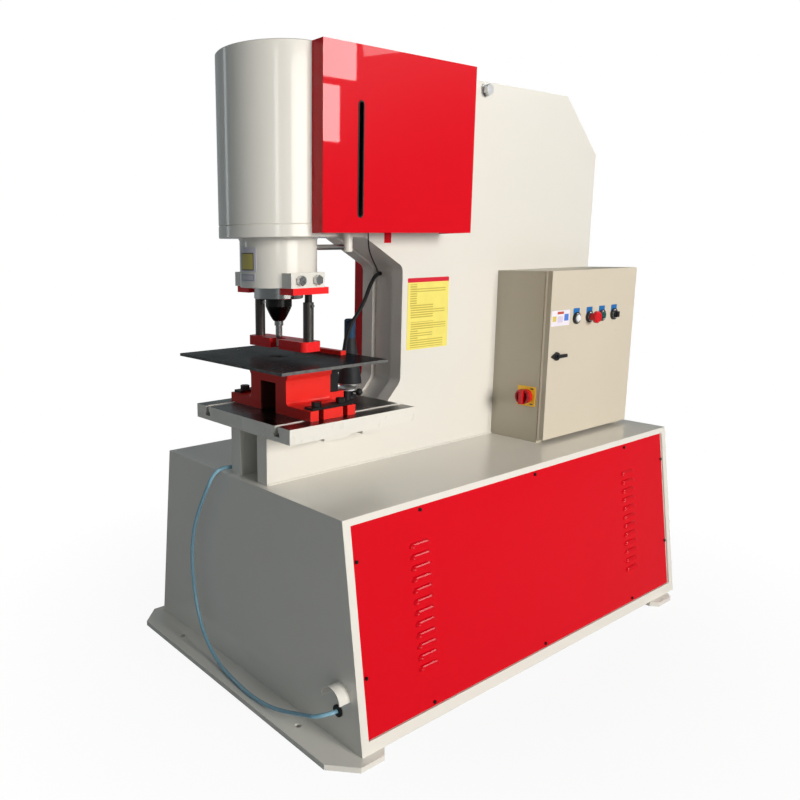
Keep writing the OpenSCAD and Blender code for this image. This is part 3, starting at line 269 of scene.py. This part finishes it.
# The cabinet body's beige, darkened as painted shade
cabinet_beige_painted_shade = paint("cabinet_powder_coat_in_painted_shade", BEIGE_IN_PAINTED_SHADE, **POWDER)
beige = paint("beige_powder_coat", BEIGE, **POWDER)
weld = paint("painted_weld", CREAM, rough=0.35, peel=0.6, wave=0.5)
bright = steel("machined_steel", (0.62, 0.62, 0.61), 0.28)
black_steel = steel("black_oxide_steel", (0.072, 0.069, 0.068), 0.42, scratch=0.12)
post_steel = steel("guide_post_steel", (0.170, 0.163, 0.155), 0.4, scratch=0.08)
nut_steel = steel("oiled_nut_steel", (0.060, 0.058, 0.058), 0.27, scratch=0.08)
ram_steel = steel("ground_ram_steel", (0.70, 0.70, 0.69), 0.2, scratch=0.05)
chrome = steel("chrome_trim", (0.80, 0.80, 0.80), 0.14, scratch=0.02)
satin = steel("satin_chrome", (0.88, 0.87, 0.86), 0.34, scratch=0.02)
alloy = steel("cast_alloy", (0.42, 0.43, 0.44), 0.5, grain=(1.0, 1.0, 1.0), scratch=0.5)
black_plastic = plastic("black_plastic", (0.016, 0.016, 0.018), 0.38)
red_plastic = plastic("red_plastic", (0.62, 0.006, 0.012), 0.25)
dark_red_plastic = plastic("dark_red_plastic", (0.400, 0.004, 0.012), 0.25)
yellow_plastic = plastic("yellow_plastic", (1.0, 0.62, 0.035), 0.3)
white_plastic = plastic("white_plastic", (0.80, 0.81, 0.82), 0.25)
green_plastic = plastic("green_plastic", (0.006, 0.075, 0.062), 0.28)
blue_plate = plastic("blue_plate", (0.012, 0.150, 0.430), 0.35)
rubber = plastic("black_rubber", (0.010, 0.010, 0.011), 0.6, grain=0.3)
hose_blue = plastic("blue_hose_plastic", (0.29, 0.54, 0.68), 0.2, Transmission_Weight=0.2, IOR=1.45,
                    Coat_Weight=0.5)

# Where a finish changes on one solid, in metres
TUNNEL_HALF = 0.0356
TUNNEL_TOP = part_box("table")[1][2] + 0.0856
DOOR_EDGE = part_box("cabinet_door")[0][1] + 0.0009
LAMP_CAP = 0.984
TABLE_SLOT_X = 0.168
TABLE_LIP_HALF = 0.0155


def holder_material():
    """Red casting paint, darkened inside the slug tunnel as painted shade."""
    m = paint("red_holder_paint_with_painted_tunnel_shade", CASTING_RED, **CASTING)
    x, _, z = m.place()
    wide = m.math("LESS_THAN", m.math("ABSOLUTE", x), TUNNEL_HALF)
    # Painted shade: the inside of the slug tunnel is darkened
    m.over(m.math("MULTIPLY", wide, m.math("LESS_THAN", z, TUNNEL_TOP)), TUNNEL_PAINTED_SHADE_RED)
    return m


def door_material():
    """Powder coat, with painted shade darkening the folded edge beside the lock."""
    m = paint("door_powder_coat_with_painted_edge_shade", BEIGE, **POWDER)
    # Painted shade: the door's face beside the lock is darkened
    m.over(m.math("LESS_THAN", m.place()[1], DOOR_EDGE), BEIGE_EDGE_IN_PAINTED_SHADE)
    return m


def sheet_material():
    """Dark rolled plate with faint mill scale, paler on its cut edges."""
    m = Mat("dark_sheet_steel", (0.015, 0.015, 0.016), 0.24, 0.0, IOR=1.065)
    g = m.noise(20.0, 6.0, 0.65, m.stretch(18.0, 1.0, 1.0))
    scale = m.noise(7.0, 5.0, 0.6)
    top = m.mix(m.span(g, 0.3, 0.75), (0.010, 0.010, 0.011), (0.022, 0.022, 0.023))
    top = m.mix(m.span(scale, 0.55, 0.75, 0.0, 0.5), top, (0.030, 0.029, 0.028))
    edge = m.mix(m.span(m.noise(60.0, 3.0), 0.3, 0.7), (0.10, 0.10, 0.10), (0.17, 0.17, 0.165))
    m.base(m.mix(m.upward(), edge, top))
    m.rough(m.span(scale, 0.3, 0.7, 0.2, 0.32))
    m.normal(m.bump(g, 0.05, 0.0003))
    return m


def lamp_material():
    """Black lacquered shade under a blue cap."""
    m = Mat("lamp_lacquer", (0.02, 0.02, 0.022), 0.5)
    cap = m.math("GREATER_THAN", m.place()[2], LAMP_CAP)
    f = m.noise(40.0, 3.0)
    dark = m.mix(m.span(f, 0.3, 0.7), (0.010, 0.011, 0.013), (0.018, 0.019, 0.022))
    blue = m.mix(m.span(f, 0.3, 0.7), (0.006, 0.038, 0.085), (0.010, 0.052, 0.115))
    m.base(m.mix(cap, dark, blue))
    m.rough(m.span(m.noise(25.0, 4.0), 0.3, 0.7, 0.45, 0.6))
    return m


def table_material():
    """Dark ground top, cream sides, bright lips along the two slots."""
    m = Mat("table_top_and_sides", (0.1, 0.1, 0.1), 0.3)
    up = m.upward()
    off = m.math("ABSOLUTE", m.math("SUBTRACT", m.math("ABSOLUTE", m.place()[0]), TABLE_SLOT_X))
    lip = m.math("LESS_THAN", off, TABLE_LIP_HALF)
    g = m.noise(30.0, 6.0, 0.65, m.stretch(30.0, 1.0, 1.0))
    top = m.mix(m.span(g, 0.3, 0.75), (0.065, 0.064, 0.064), (0.13, 0.128, 0.125))
    worn = m.math("MULTIPLY", lip, m.span(m.noise(20.0), 0.2, 0.6, 0.5, 1.0))
    top = m.mix(worn, top, (0.34, 0.34, 0.33))
    side = m.mix(m.span(m.noise(12.0, 4.0), 0.35, 0.7), CREAM, tint(CREAM, 0.97))
    m.base(m.mix(up, side, top))
    m.link(up, m.s.inputs["Metallic"])
    m.rough(m.span(m.noise(16.0, 4.0), 0.3, 0.7, 0.24, 0.4))
    m.normal(m.bump(g, 0.08, 0.0003))
    return m


def field_plate(name, ground, fields, rough=0.4, ruled=(), across=1, origin=PUNCH_Y):
    """A printed plate's bare ground with plain colour fields, each (from, to, z0, z1, colour) in mm.

    A ruled field is (from, to, z0, z1, pitch, share of it that is inked, colour).
    """
    m = Mat(name, ground, rough)
    axes = m.place()
    u, z = axes[across], axes[2]

    def spot(lo, hi, z0, z1):
        wide = m.inside(u, (lo - origin) / MM, (hi - origin) / MM)
        return m.math("MULTIPLY", wide, m.inside(z, z0 / MM, z1 / MM))

    c = m.mix(m.span(m.noise(30.0, 3.0), 0.3, 0.7), tint(ground, 0.97), tint(ground, 1.02))
    for lo, hi, z0, z1, color in fields:
        c = m.mix(spot(lo, hi, z0, z1), c, color)
    for lo, hi, z0, z1, pitch, share, color in ruled:
        line = m.math("LESS_THAN", m.math("FRACT", m.math("DIVIDE", z, pitch / MM)), share)
        c = m.mix(m.math("MULTIPLY", line, spot(lo, hi, z0, z1)), c, color)
    m.base(c)
    m.rough(m.span(m.noise(90.0, 2.0), 0.3, 0.7, rough * 0.85, rough * 1.2))
    return m


# Each solid's finish, by its node or else by its material slot
by_node = {
    "table": table_material(), "support_plate": sheet_material(), "lamp_shade": lamp_material(),
    "die_holder": holder_material(), "cabinet_door": door_material(), "cabinet_body": cabinet_beige_painted_shade,
    "stripper_plate": bright_red, "carrier_bars": bright_red, "back_gauge": dull_red,
    "barrel": barrel_cream, "rod_head": barrel_cream, "barrel_cap": barrel_cream,
    "stripper_sleeves": post_steel, "coupling_nut": nut_steel, "ram": ram_steel, "die": black_steel,
    "punch": bright, "pressure_pipe": bright, "lamp_bezel": satin, "hose_fittings": rubber,
}
by_slot = {
    "cream_paint": cream, "red_paint": red, "beige_paint": beige, "bright_steel": bright,
    "black_steel": black_steel, "table_steel": black_steel, "chrome_trim": chrome,
    "black_plastic": black_plastic, "red_plastic": red_plastic, "yellow_plastic": yellow_plastic,
    "white_plastic": white_plastic, "green_plastic": green_plastic, "navy_plastic": black_plastic,
    "black_rubber": rubber, "hose_blue": hose_blue, "motor_alloy": alloy,
}
for sub in frame["record"]["subparts"]:
    slots = NODES[sub["node"]].data.materials
    slots.clear()
    slots.append(by_node.get(sub["node"], by_slot[sub["material_slot"]]).m)


# Making of pieces
def fix(o, mat, body, slot):
    """Gives a piece its material and its body; slot is not used."""
    o.data.materials.append(mat.m)
    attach(o, body)
    return o


def piece(name, bm, mat, body, slot):
    me = bpy.data.meshes.new(name)
    bmesh.ops.recalc_face_normals(bm, faces=bm.faces)
    bm.to_mesh(me)
    bm.free()
    return fix(add(name, me), mat, body, slot)


def curve(name, points, radius, mat, slot, body="machine"):
    c = bpy.data.curves.new(name, "CURVE")
    c.dimensions = "3D"
    c.bevel_depth = radius
    c.bevel_resolution = 4
    c.use_fill_caps = True
    s = c.splines.new("POLY")
    s.points.add(len(points) - 1)
    for p, q in zip(s.points, points):
        p.co = (*q, 1)
    s.use_smooth = True
    return fix(add(name, c), mat, body, slot)


def smooth_run(route, steps=6):
    """The same smooth run through the route's points as the solids follow."""
    r = [at(*p) for p in route]
    ends = [r[0], *r, r[-1], r[-1]]
    out = []
    for a, b, c, d in zip(ends, r[:-1], r[1:], ends[3:]):
        for k in range(steps):
            t = k / steps
            out.append(0.5 * (2 * b + (c - a) * t + (2 * a - 5 * b + 4 * c - d) * t * t
                              + (3 * b - a - 3 * c + d) * t ** 3))
    out.append(r[-1])
    return out


# Cords, on the routes of their solids, in mm
hose_route = [
    (-112, 40, 620), (-112, 20, 620), (-111, -20, 618), (-109, -60, 617), (-107, -95, 618),
    (-109, -122, 619), (-112, -145, 613), (-117, -161.5, 596.5), (-127, -168, 573), (-157, -168, 528),
    (-190, -167, 475), (-217, -169, 411), (-231, -170, 349), (-232, -172, 289), (-224, -174, 233),
    (-203, -177, 160), (-169, -180, 98), (-119, -184, 54), (-59, -188, 27), (20, -196, 21),
    (101, -202, 21), (160, -200, 22), (215, -196, 29), (268, -192, 44), (314, -190, 61),
    (360, -189.3, 80), (377, -186.3, 86), (395.4, -174.7, 94.5), (407, -156.4, 99), (410, -139.3, 100)]
conduit_route = [
    (-21, 420, 1172), (-21, 409, 1170.2), (-19, 397, 1165.5), (-15, 384, 1157), (-10, 370, 1145),
    (-4, 353, 1127), (4, 330, 1097), (15, 291, 1058), (25, 258, 1033), (34, 233, 1003), (40, 219, 976),
    (44, 213, 956), (49, 207, 936), (54, 196, 919), (58, 181, 906), (60, 165, 899), (60, 152.3, 896.5)]
cable_route = [
    (100, 246, 1300), (99, 248, 1280), (97, 252, 1259), (88, 264, 1244), (68, 292, 1226),
    (46, 323, 1210), (22, 356, 1196), (-4, 387, 1185), (-22, 406, 1179), (-28, 414, 1177),
    (-30, 420.2, 1176.5)]
for name, node, route, dia, mat, slot, stiff in (
        ("hose_run", "blue_hose", hose_route, 0.011, hose_blue, "hose_blue", "stiff"),
        ("conduit_run", "lamp_conduit", conduit_route, 0.012, rubber, "black_rubber", "stiff"),
        ("cable_run", "switch_cable", cable_route, 0.004, rubber, "black_rubber", "medium")):
    pts = smooth_run(route)
    o = curve(name, pts, dia / 2, mat, slot)
    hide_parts(node)


# Shapes of thin plates and trim, in mm: u across, v up and n out from the face they sit on
def on_x(x, y, z):
    """Places a plate's points on a face that looks along x."""
    return lambda u, v, n: at(x + n, y + u, z + v)


def on_y(x, y, z):
    """Places a plate's points on a face that looks against y."""
    return lambda u, v, n: at(x + u, y - n, z + v)


def round_z(radius, turn, z):
    """Places a plate's points round the punch axis, at an angle from x."""
    def put(u, v, n):
        a = math.radians(turn) + u / radius
        return at((radius + n) * math.cos(a), (radius + n) * math.sin(a), z + v)
    return put


def band(bm, a, b):
    """Quads between two closed loops of points."""
    for i in range(len(a)):
        j = (i + 1) % len(a)
        bm.faces.new((a[i], a[j], b[j], b[i]))


def loops(rings):
    """Quads between closed loops of points, one after the other."""
    bm = bmesh.new()
    made = [[bm.verts.new(p) for p in ring] for ring in rings]
    for a, b in zip(made, made[1:]):
        band(bm, a, b)
    return bm, made


def card(name, mat, put, wide, high, corner, thick, slot, body="machine", columns=8):
    """A thin plate with rounded corners and a broken edge."""
    bm = bmesh.new()

    def ring(inset, n):
        w, h, r = wide / 2 - inset, high / 2 - inset, corner - inset
        us = [-w + r * (1 - math.cos(k * math.pi / 10)) for k in range(6)]
        middle = [-w + r + 2 * (w - r) * k / columns for k in range(1, columns)]
        us += middle + [-u for u in reversed(us)]
        top = [h - r + math.sqrt(max(0.0, r * r - max(0.0, abs(u) - w + r) ** 2)) for u in us]
        low = [bm.verts.new(put(u, -v, n)) for u, v in zip(us, top)]
        return low, [bm.verts.new(put(u, v, n)) for u, v in zip(us, top)]

    broken = min(0.4 * thick, 0.5 * corner)
    rings = [ring(0, 0), ring(0, thick - broken), ring(broken, thick)]
    for (low_a, top_a), (low_b, top_b) in zip(rings, rings[1:]):
        band(bm, low_a + top_a[::-1], low_b + top_b[::-1])
    for low, top in (rings[0], rings[-1]):
        for i in range(len(low) - 1):
            bm.faces.new((low[i], low[i + 1], top[i + 1], top[i]))
    return piece(name, bm, mat, body, slot)


def rim(name, mat, put, wide, high, wall, thick, slot, body="machine", deep=0.0):
    """A raised edging round a slot or a round hole, with both its edges broken."""
    def ring(inset, n):
        r, h = wide / 2 - inset, (high - wide) / 2
        turn = [math.pi * k / 16 for k in range(17)]
        half = [(r * math.cos(a), h + r * math.sin(a)) for a in turn]
        return [put(u, v, n) for u, v in half + [(-u, -v) for u, v in half]]

    broken = 0.35 * thick
    bm, made = loops([
        ring(0, 0), ring(0, thick - broken), ring(broken, thick), ring(wall - broken, thick),
        ring(wall, thick - broken), ring(wall, -deep)])
    band(bm, made[-1], made[0])
    bmesh.ops.remove_doubles(bm, verts=bm.verts, dist=1e-6)
    return piece(name, bm, mat, body, slot)


def diamond(name, mat, put, wide, high, thick, slot, body, tip=0.12, broken=1.5):
    """A rhombic plate with rounded tips and a broken front edge."""
    def ring(inset, n):
        w, h = wide / 2 - inset, high / 2 - inset
        tips = [(0, h), (-w, 0), (0, -h), (w, 0)]
        pts = []
        for k in range(4):
            before, here, after = (Vector(tips[(k + i) % 4]) for i in range(3))
            a, c = here + (before - here) * tip, here + (after - here) * tip
            pts += [(1 - t) ** 2 * a + 2 * t * (1 - t) * here + t * t * c for t in (0, 0.25, 0.5, 0.75, 1)]
        return [put(u, v, n) for u, v in pts]

    bm, made = loops([ring(0, 0), ring(0, thick - broken), ring(broken, thick)])
    bm.faces.new(made[-1])
    bm.faces.new(made[0][::-1])
    return piece(name, bm, mat, body, slot)


# Plates with plain colour fields where the real ones are printed
FRAME_FACE, DOOR_FACE, NECK_R = 86.0, 291.0, 107.5
INK, PITCH = (0.530, 0.420, 0.070), 7.2
notice = field_plate(
    "yellow_notice", (0.830, 0.715, 0.165), [(429, 618, 1145.5, 1200, (0.640, 0.010, 0.034))],
    ruled=[(lo, hi, z0, z1, PITCH, share, INK) for lo, hi, z0, z1, share in (
        (441, 470, 1068, 1140, 0.55), (470, 602, 1112, 1130, 0.4), (444, 545, 1034, 1078, 0.5),
        (545, 600, 1048, 1064, 0.4), (446, 548, 998, 1024, 0.5), (520, 606, 1002, 1018, 0.45),
        (444, 478, 944, 998, 0.5), (478, 545, 978, 994, 0.4), (478, 594, 944, 968, 0.4))])
card("notice_plate", notice, on_x(FRAME_FACE, 523, 1048.5), wide=188, high=221, corner=4, thick=0.8,
     slot="yellow_plastic")
door_notice = field_plate(
    "white_notice", (0.790, 0.740, 0.800), [
        (905, 940, 1033, 1041, (0.500, 0.060, 0.030)), (879, 900, 1010, 1027, (0.640, 0.500, 0.120)),
        (944, 968, 1010, 1032, (0.080, 0.200, 0.640)), (907, 936, 1006, 1026, (0.640, 0.560, 0.700))])
card("door_plate", door_notice, on_x(DOOR_FACE, 924.5, 1020), wide=101, high=50, corner=3, thick=0.8,
     slot="white_plastic", body="door")
neck_notice = field_plate(
    "neck_notice", (0.600, 0.580, 0.640), [
        (-30, 27, 1196, 1243, (0.110, 0.100, 0.070)), (-27, 24, 1199, 1240, (0.600, 0.500, 0.120))],
    rough=0.45, across=0, origin=0)
card("neck_plate_upper", neck_notice, round_z(NECK_R, -89.5, 1225), wide=70, high=66, corner=3, thick=0.6,
     slot="white_plastic")
neck_plain = field_plate(
    "neck_plain", (0.600, 0.590, 0.640), [
        (-30, 27, 1169, 1185, (0.200, 0.190, 0.240)), (-28.5, 25.5, 1170.5, 1183.5, (0.560, 0.545, 0.600))],
    rough=0.45, across=0, origin=0)
card("neck_plate_lower", neck_plain, round_z(NECK_R, -90.5, 1177), wide=66, high=22, corner=3, thick=0.6,
     slot="white_plastic")

# Each push button's blue legend plate and bright trim ring
BUTTON_YS, BUTTON_Z, LEGEND_Z, RING_X = (1013, 1089, 1165, 1241), 1015.0, 1036.5, DOOR_FACE + 6.0
for i, y in enumerate(BUTTON_YS, 1):
    card("legend_%d" % i, blue_plate, on_x(DOOR_FACE, y, LEGEND_Z), wide=35, high=22, corner=2, thick=1.0,
         slot="white_plastic", body="door")
    rim("trim_ring_%d" % i, chrome, on_x(RING_X, y, BUTTON_Z), wide=32, high=32, wall=3.7, thick=3.2,
        slot="chrome_trim", body="door")

# The door lock's rhombic wing plate
LOCK_Y, LOCK_Z, LOCK_GAP = 910, 897, 0.4
diamond("lock_plate", black_plastic, on_x(DOOR_FACE + LOCK_GAP, LOCK_Y, LOCK_Z), wide=56, high=30, thick=6.0,
        slot="black_plastic", body="lock")

# The main switch's round skirt and the two marks on its yellow plate
SWITCH_X, SWITCH_Y, SWITCH_Z = 221.0, 864.0, 761.0
SKIRT_OUT, MARK_X, MARK_Z = 12.3, 21, 26
rim("switch_skirt", dark_red_plastic, on_y(SWITCH_X, SWITCH_Y - SKIRT_OUT, SWITCH_Z), wide=50, high=50, wall=4,
    thick=13, slot="red_plastic", body="main_switch")
for name, v in (("upper", MARK_Z), ("lower", -MARK_Z)):
    card("switch_mark_" + name, black_plastic, on_y(SWITCH_X + MARK_X, SWITCH_Y, SWITCH_Z + v), wide=11, high=4,
         corner=1, thick=0.6, slot="black_plastic", columns=2)


def door_seam():
    """The folded seam along the door's top, lock side and bottom."""
    lip = [(268.2, 0), (269, 0.9), (270, 1.1), (275.5, 0.2), (275.5, 0)]
    hinge_y, lock_y, top, low = 1350, 867, 1171, 621
    corners = ((hinge_y, top, 0, 1), (lock_y, top, -1, 1), (lock_y, low, -1, -1), (hinge_y, low, 0, -1))
    bm, run = loops([[at(x, y + side * out, z + up * out) for x, out in lip] for y, z, side, up in corners])
    bm.faces.new(run[0])
    bm.faces.new(run[-1][::-1])
    piece("door_seam", bm, beige, "door", "beige_paint")


door_seam()

# Black edging round the cover's viewing slot, and a black strip on the frame behind it as painted shade inside
# the slot
COVER_FACE, SLOT_Y, STRIP_Y = 206.0, 114.0, 220
SLOT_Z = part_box("stroke_cover")[1][2] * MM - 279.5
rim("slot_edging", rubber, on_x(COVER_FACE, SLOT_Y, SLOT_Z), wide=22, high=293, wall=4.2, thick=1.2,
    slot="black_rubber", deep=2.0)
# Painted shade: this black strip stands in for the darkness seen through the slot
card("slot_painted_shade_strip", rubber, on_x(FRAME_FACE, STRIP_Y, SLOT_Z), wide=90, high=340, corner=4, thick=1.0,
     slot="black_rubber")

# Weld beads along the feet of the frame plates
WELD_X, WELD_Z, WELD_R = FRAME_FACE + 1.2, 610.2, 0.0032
for side, x in (("right", WELD_X), ("left", -WELD_X)):
    curve("weld_" + side, [at(x, y, WELD_Z) for y in range(-108, 1388, 34)], WELD_R, weld, "cream_paint")

# Softened edges on the solids that show them, by their width in metres
for width, names in (
        (0.0025, ("base_housing",)),
        (0.002, ("frame_right_plate", "frame_left_plate", "frame_back_plate")),
        (0.0015, ("front_foot", "rear_foot", "die_holder", "stripper_plate", "carrier_bars", "rod_head")),
        (0.0012, ("table", "support_plate")),
        (0.0008, ("stroke_cover", "left_cover", "cabinet_body", "cabinet_door"))):
    for name in names:
        b = NODES[name].modifiers.new("edge", "BEVEL")
        b.width = width
        b.segments = 2
        b.limit_method = "ANGLE"
        b.angle_limit = math.radians(40)
        b.harden_normals = False

# Camera, at the photograph's viewing angle: angles in radians, its place in mm, the rest in the photo's pixels
YAW, PITCH_DOWN, ROLL = 0.9444, 0.1963, -0.0139
CAMERA_AT = (1701.9, -1307.2, 1254.1)
PHOTO_SIDE, FOCAL, CENTRE_X, CENTRE_Y = 800.0, 757.8, 258.3, 399.2
SENSOR_MM = 36.0


def aim():
    r = Vector((math.cos(YAW), math.sin(YAW), 0))
    fwd = Vector((-math.sin(YAW), math.cos(YAW), 0))
    up = Vector((0, 0, 1))
    f2 = math.cos(PITCH_DOWN) * fwd - math.sin(PITCH_DOWN) * up
    u2 = math.sin(PITCH_DOWN) * fwd + math.cos(PITCH_DOWN) * up
    r3 = math.cos(ROLL) * r + math.sin(ROLL) * u2
    u3 = -math.sin(ROLL) * r + math.cos(ROLL) * u2
    m = Matrix((r3, u3, -f2)).transposed().to_4x4()
    m.translation = at(*CAMERA_AT)
    return m


cam = bpy.data.cameras.new("camera")
cam.sensor_width = SENSOR_MM
cam.lens = FOCAL * SENSOR_MM / PHOTO_SIDE
cam.shift_x = (PHOTO_SIDE / 2 - CENTRE_X) / PHOTO_SIDE
cam.shift_y = (CENTRE_Y - PHOTO_SIDE / 2) / PHOTO_SIDE
cam_obj = add("camera", cam)
cam_obj.matrix_world = aim()
bpy.context.scene.camera = cam_obj

# Floor, light and background
BACKDROP = Vector((-0.81, 0.58, 0.0))
FRONT = (0.50, -0.86, 0.0)
FLOOR = (0.60, 0.62, 0.64)
FLOOR_HALF, FLOOR_DROP = 14.0, 0.0005
AMBIENT, BEHIND = 0.158, 0.30
WHITE, SKY = (1, 1, 1), (0.86, 0.96, 1.0)


def floor():
    """A pale floor that keeps the machine's shadow, white where the camera looks past it."""
    bm = bmesh.new()
    bmesh.ops.create_grid(bm, x_segments=8, y_segments=8, size=FLOOR_HALF)
    me = bpy.data.meshes.new("floor")
    bm.to_mesh(me)
    bm.free()
    o = add("floor", me)
    o.location = (0, 0, -FLOOR_DROP)
    m = Mat("pale_floor", FLOOR, 0.8)
    m.base(m.mix(m.span(m.noise(0.8, 3.0), 0.3, 0.7), tint(FLOOR, 0.98), tint(FLOOR, 1.02)))
    glow = m.node("ShaderNodeEmission")
    away = m.node("ShaderNodeVectorMath", operation="LENGTH")
    m.link(m.co, away.inputs[0])
    clear, glossy = m.rays()
    shown = m.math("MULTIPLY", clear, m.span(away.outputs["Value"], 0.7, 1.6, 0.92, 1.0))
    pale = m.span(m.along(m.co, BACKDROP), -1.0, 4.0, 0.08, 0.3)
    m.link(m.math("MAXIMUM", clear, pale), glow.inputs["Strength"])
    surface = m.node("ShaderNodeMixShader")
    m.link(m.math("MAXIMUM", shown, m.math("MULTIPLY", glossy, 0.8)), surface.inputs[0])
    m.link(m.s.outputs[0], surface.inputs[1])
    m.link(glow.outputs[0], surface.inputs[2])
    m.link(surface.outputs[0], m.t.nodes["Material Output"].inputs["Surface"])
    me.materials.append(m.m)


def world():
    """White where the camera looks past the object, pale in reflections, a low cool light elsewhere."""
    w = bpy.data.worlds.new("studio")
    bpy.context.scene.world = w
    w.use_nodes = True
    t = Tree(w.node_tree)
    clear, glossy = t.rays()
    way = t.node("ShaderNodeTexCoord").outputs["Generated"]
    pale = t.span(t.along(way, BACKDROP), -0.4, 0.9, AMBIENT, BEHIND)
    fill = t.span(t.along(way, FRONT), -1.0, 1.0, AMBIENT * 0.35, AMBIENT * 1.65)
    sky = t.t.nodes["Background"].inputs
    t.link(t.mix(clear, SKY, WHITE), sky["Color"])
    t.link(t.blend(clear, t.blend(glossy, fill, pale), 1.0), sky["Strength"])


def softbox(name, where, look, size, power, color=WHITE, diffuse=True, glossy=True):
    """A rectangular lamp; diffuse or glossy off keeps it out of that kind of light."""
    d = bpy.data.lights.new(name, "AREA")
    d.shape = "RECTANGLE"
    d.size, d.size_y = size
    d.energy = power
    d.color = color
    o = add(name, d)
    o.location = where
    o.rotation_euler = (Vector(look) - Vector(where)).to_track_quat("-Z", "Y").to_euler()
    o.visible_diffuse = diffuse
    o.visible_glossy = glossy


def reflector(name, turn, away, wide, low, high, level, color=WHITE):
    """A pale upright panel, seen only in gloss, at an angle round the punch axis."""
    a, axis_y = math.radians(turn), -PUNCH_Y / MM
    z = (low + high) / 2
    softbox(name, (away * math.cos(a), away * math.sin(a) + axis_y, z), (0, axis_y, z), (wide, high - low),
            level * math.pi * wide * (high - low), color, diffuse=False)


floor()
world()
softbox("key_right", where=(6.4, 0.0, 2.2), look=(0.2, 0.0, 0.8), size=(2.4, 2.2), power=395,
        color=(1.0, 0.975, 0.93), glossy=False)
softbox("back_fill", where=(-3.2, 3.8, 0.32), look=(0.0, 0.0, 0.5), size=(3.0, 0.5), power=170, glossy=False)
reflector("panel_right", turn=4, away=6.4, wide=3.7, low=0.9, high=3.2, level=3.4, color=(1.0, 0.96, 0.90))
reflector("panel_front", turn=-38.5, away=5.0, wide=0.6, low=1.2, high=2.9, level=2.6)
reflector("panel_left", turn=-147, away=4.0, wide=0.5, low=1.2, high=2.8, level=1.7, color=(0.86, 0.94, 1.0))
softbox("window_low", where=(3.2, 1.947, 2.236), look=(0.0, 1.947, 2.236), size=(0.385, 0.404), power=7.2,
        diffuse=False)
softbox("window_high", where=(3.2, 2.03, 2.72), look=(0.0, 2.03, 2.72), size=(0.55, 0.46), power=11.0,
        diffuse=False)
softbox("panel_high", where=(1.99, 2.18, 2.90), look=(0.46, -0.47, 0.33), size=(1.6, 0.9), power=23.0,
        diffuse=False)

bpy.context.scene.view_settings.view_transform = "Standard"
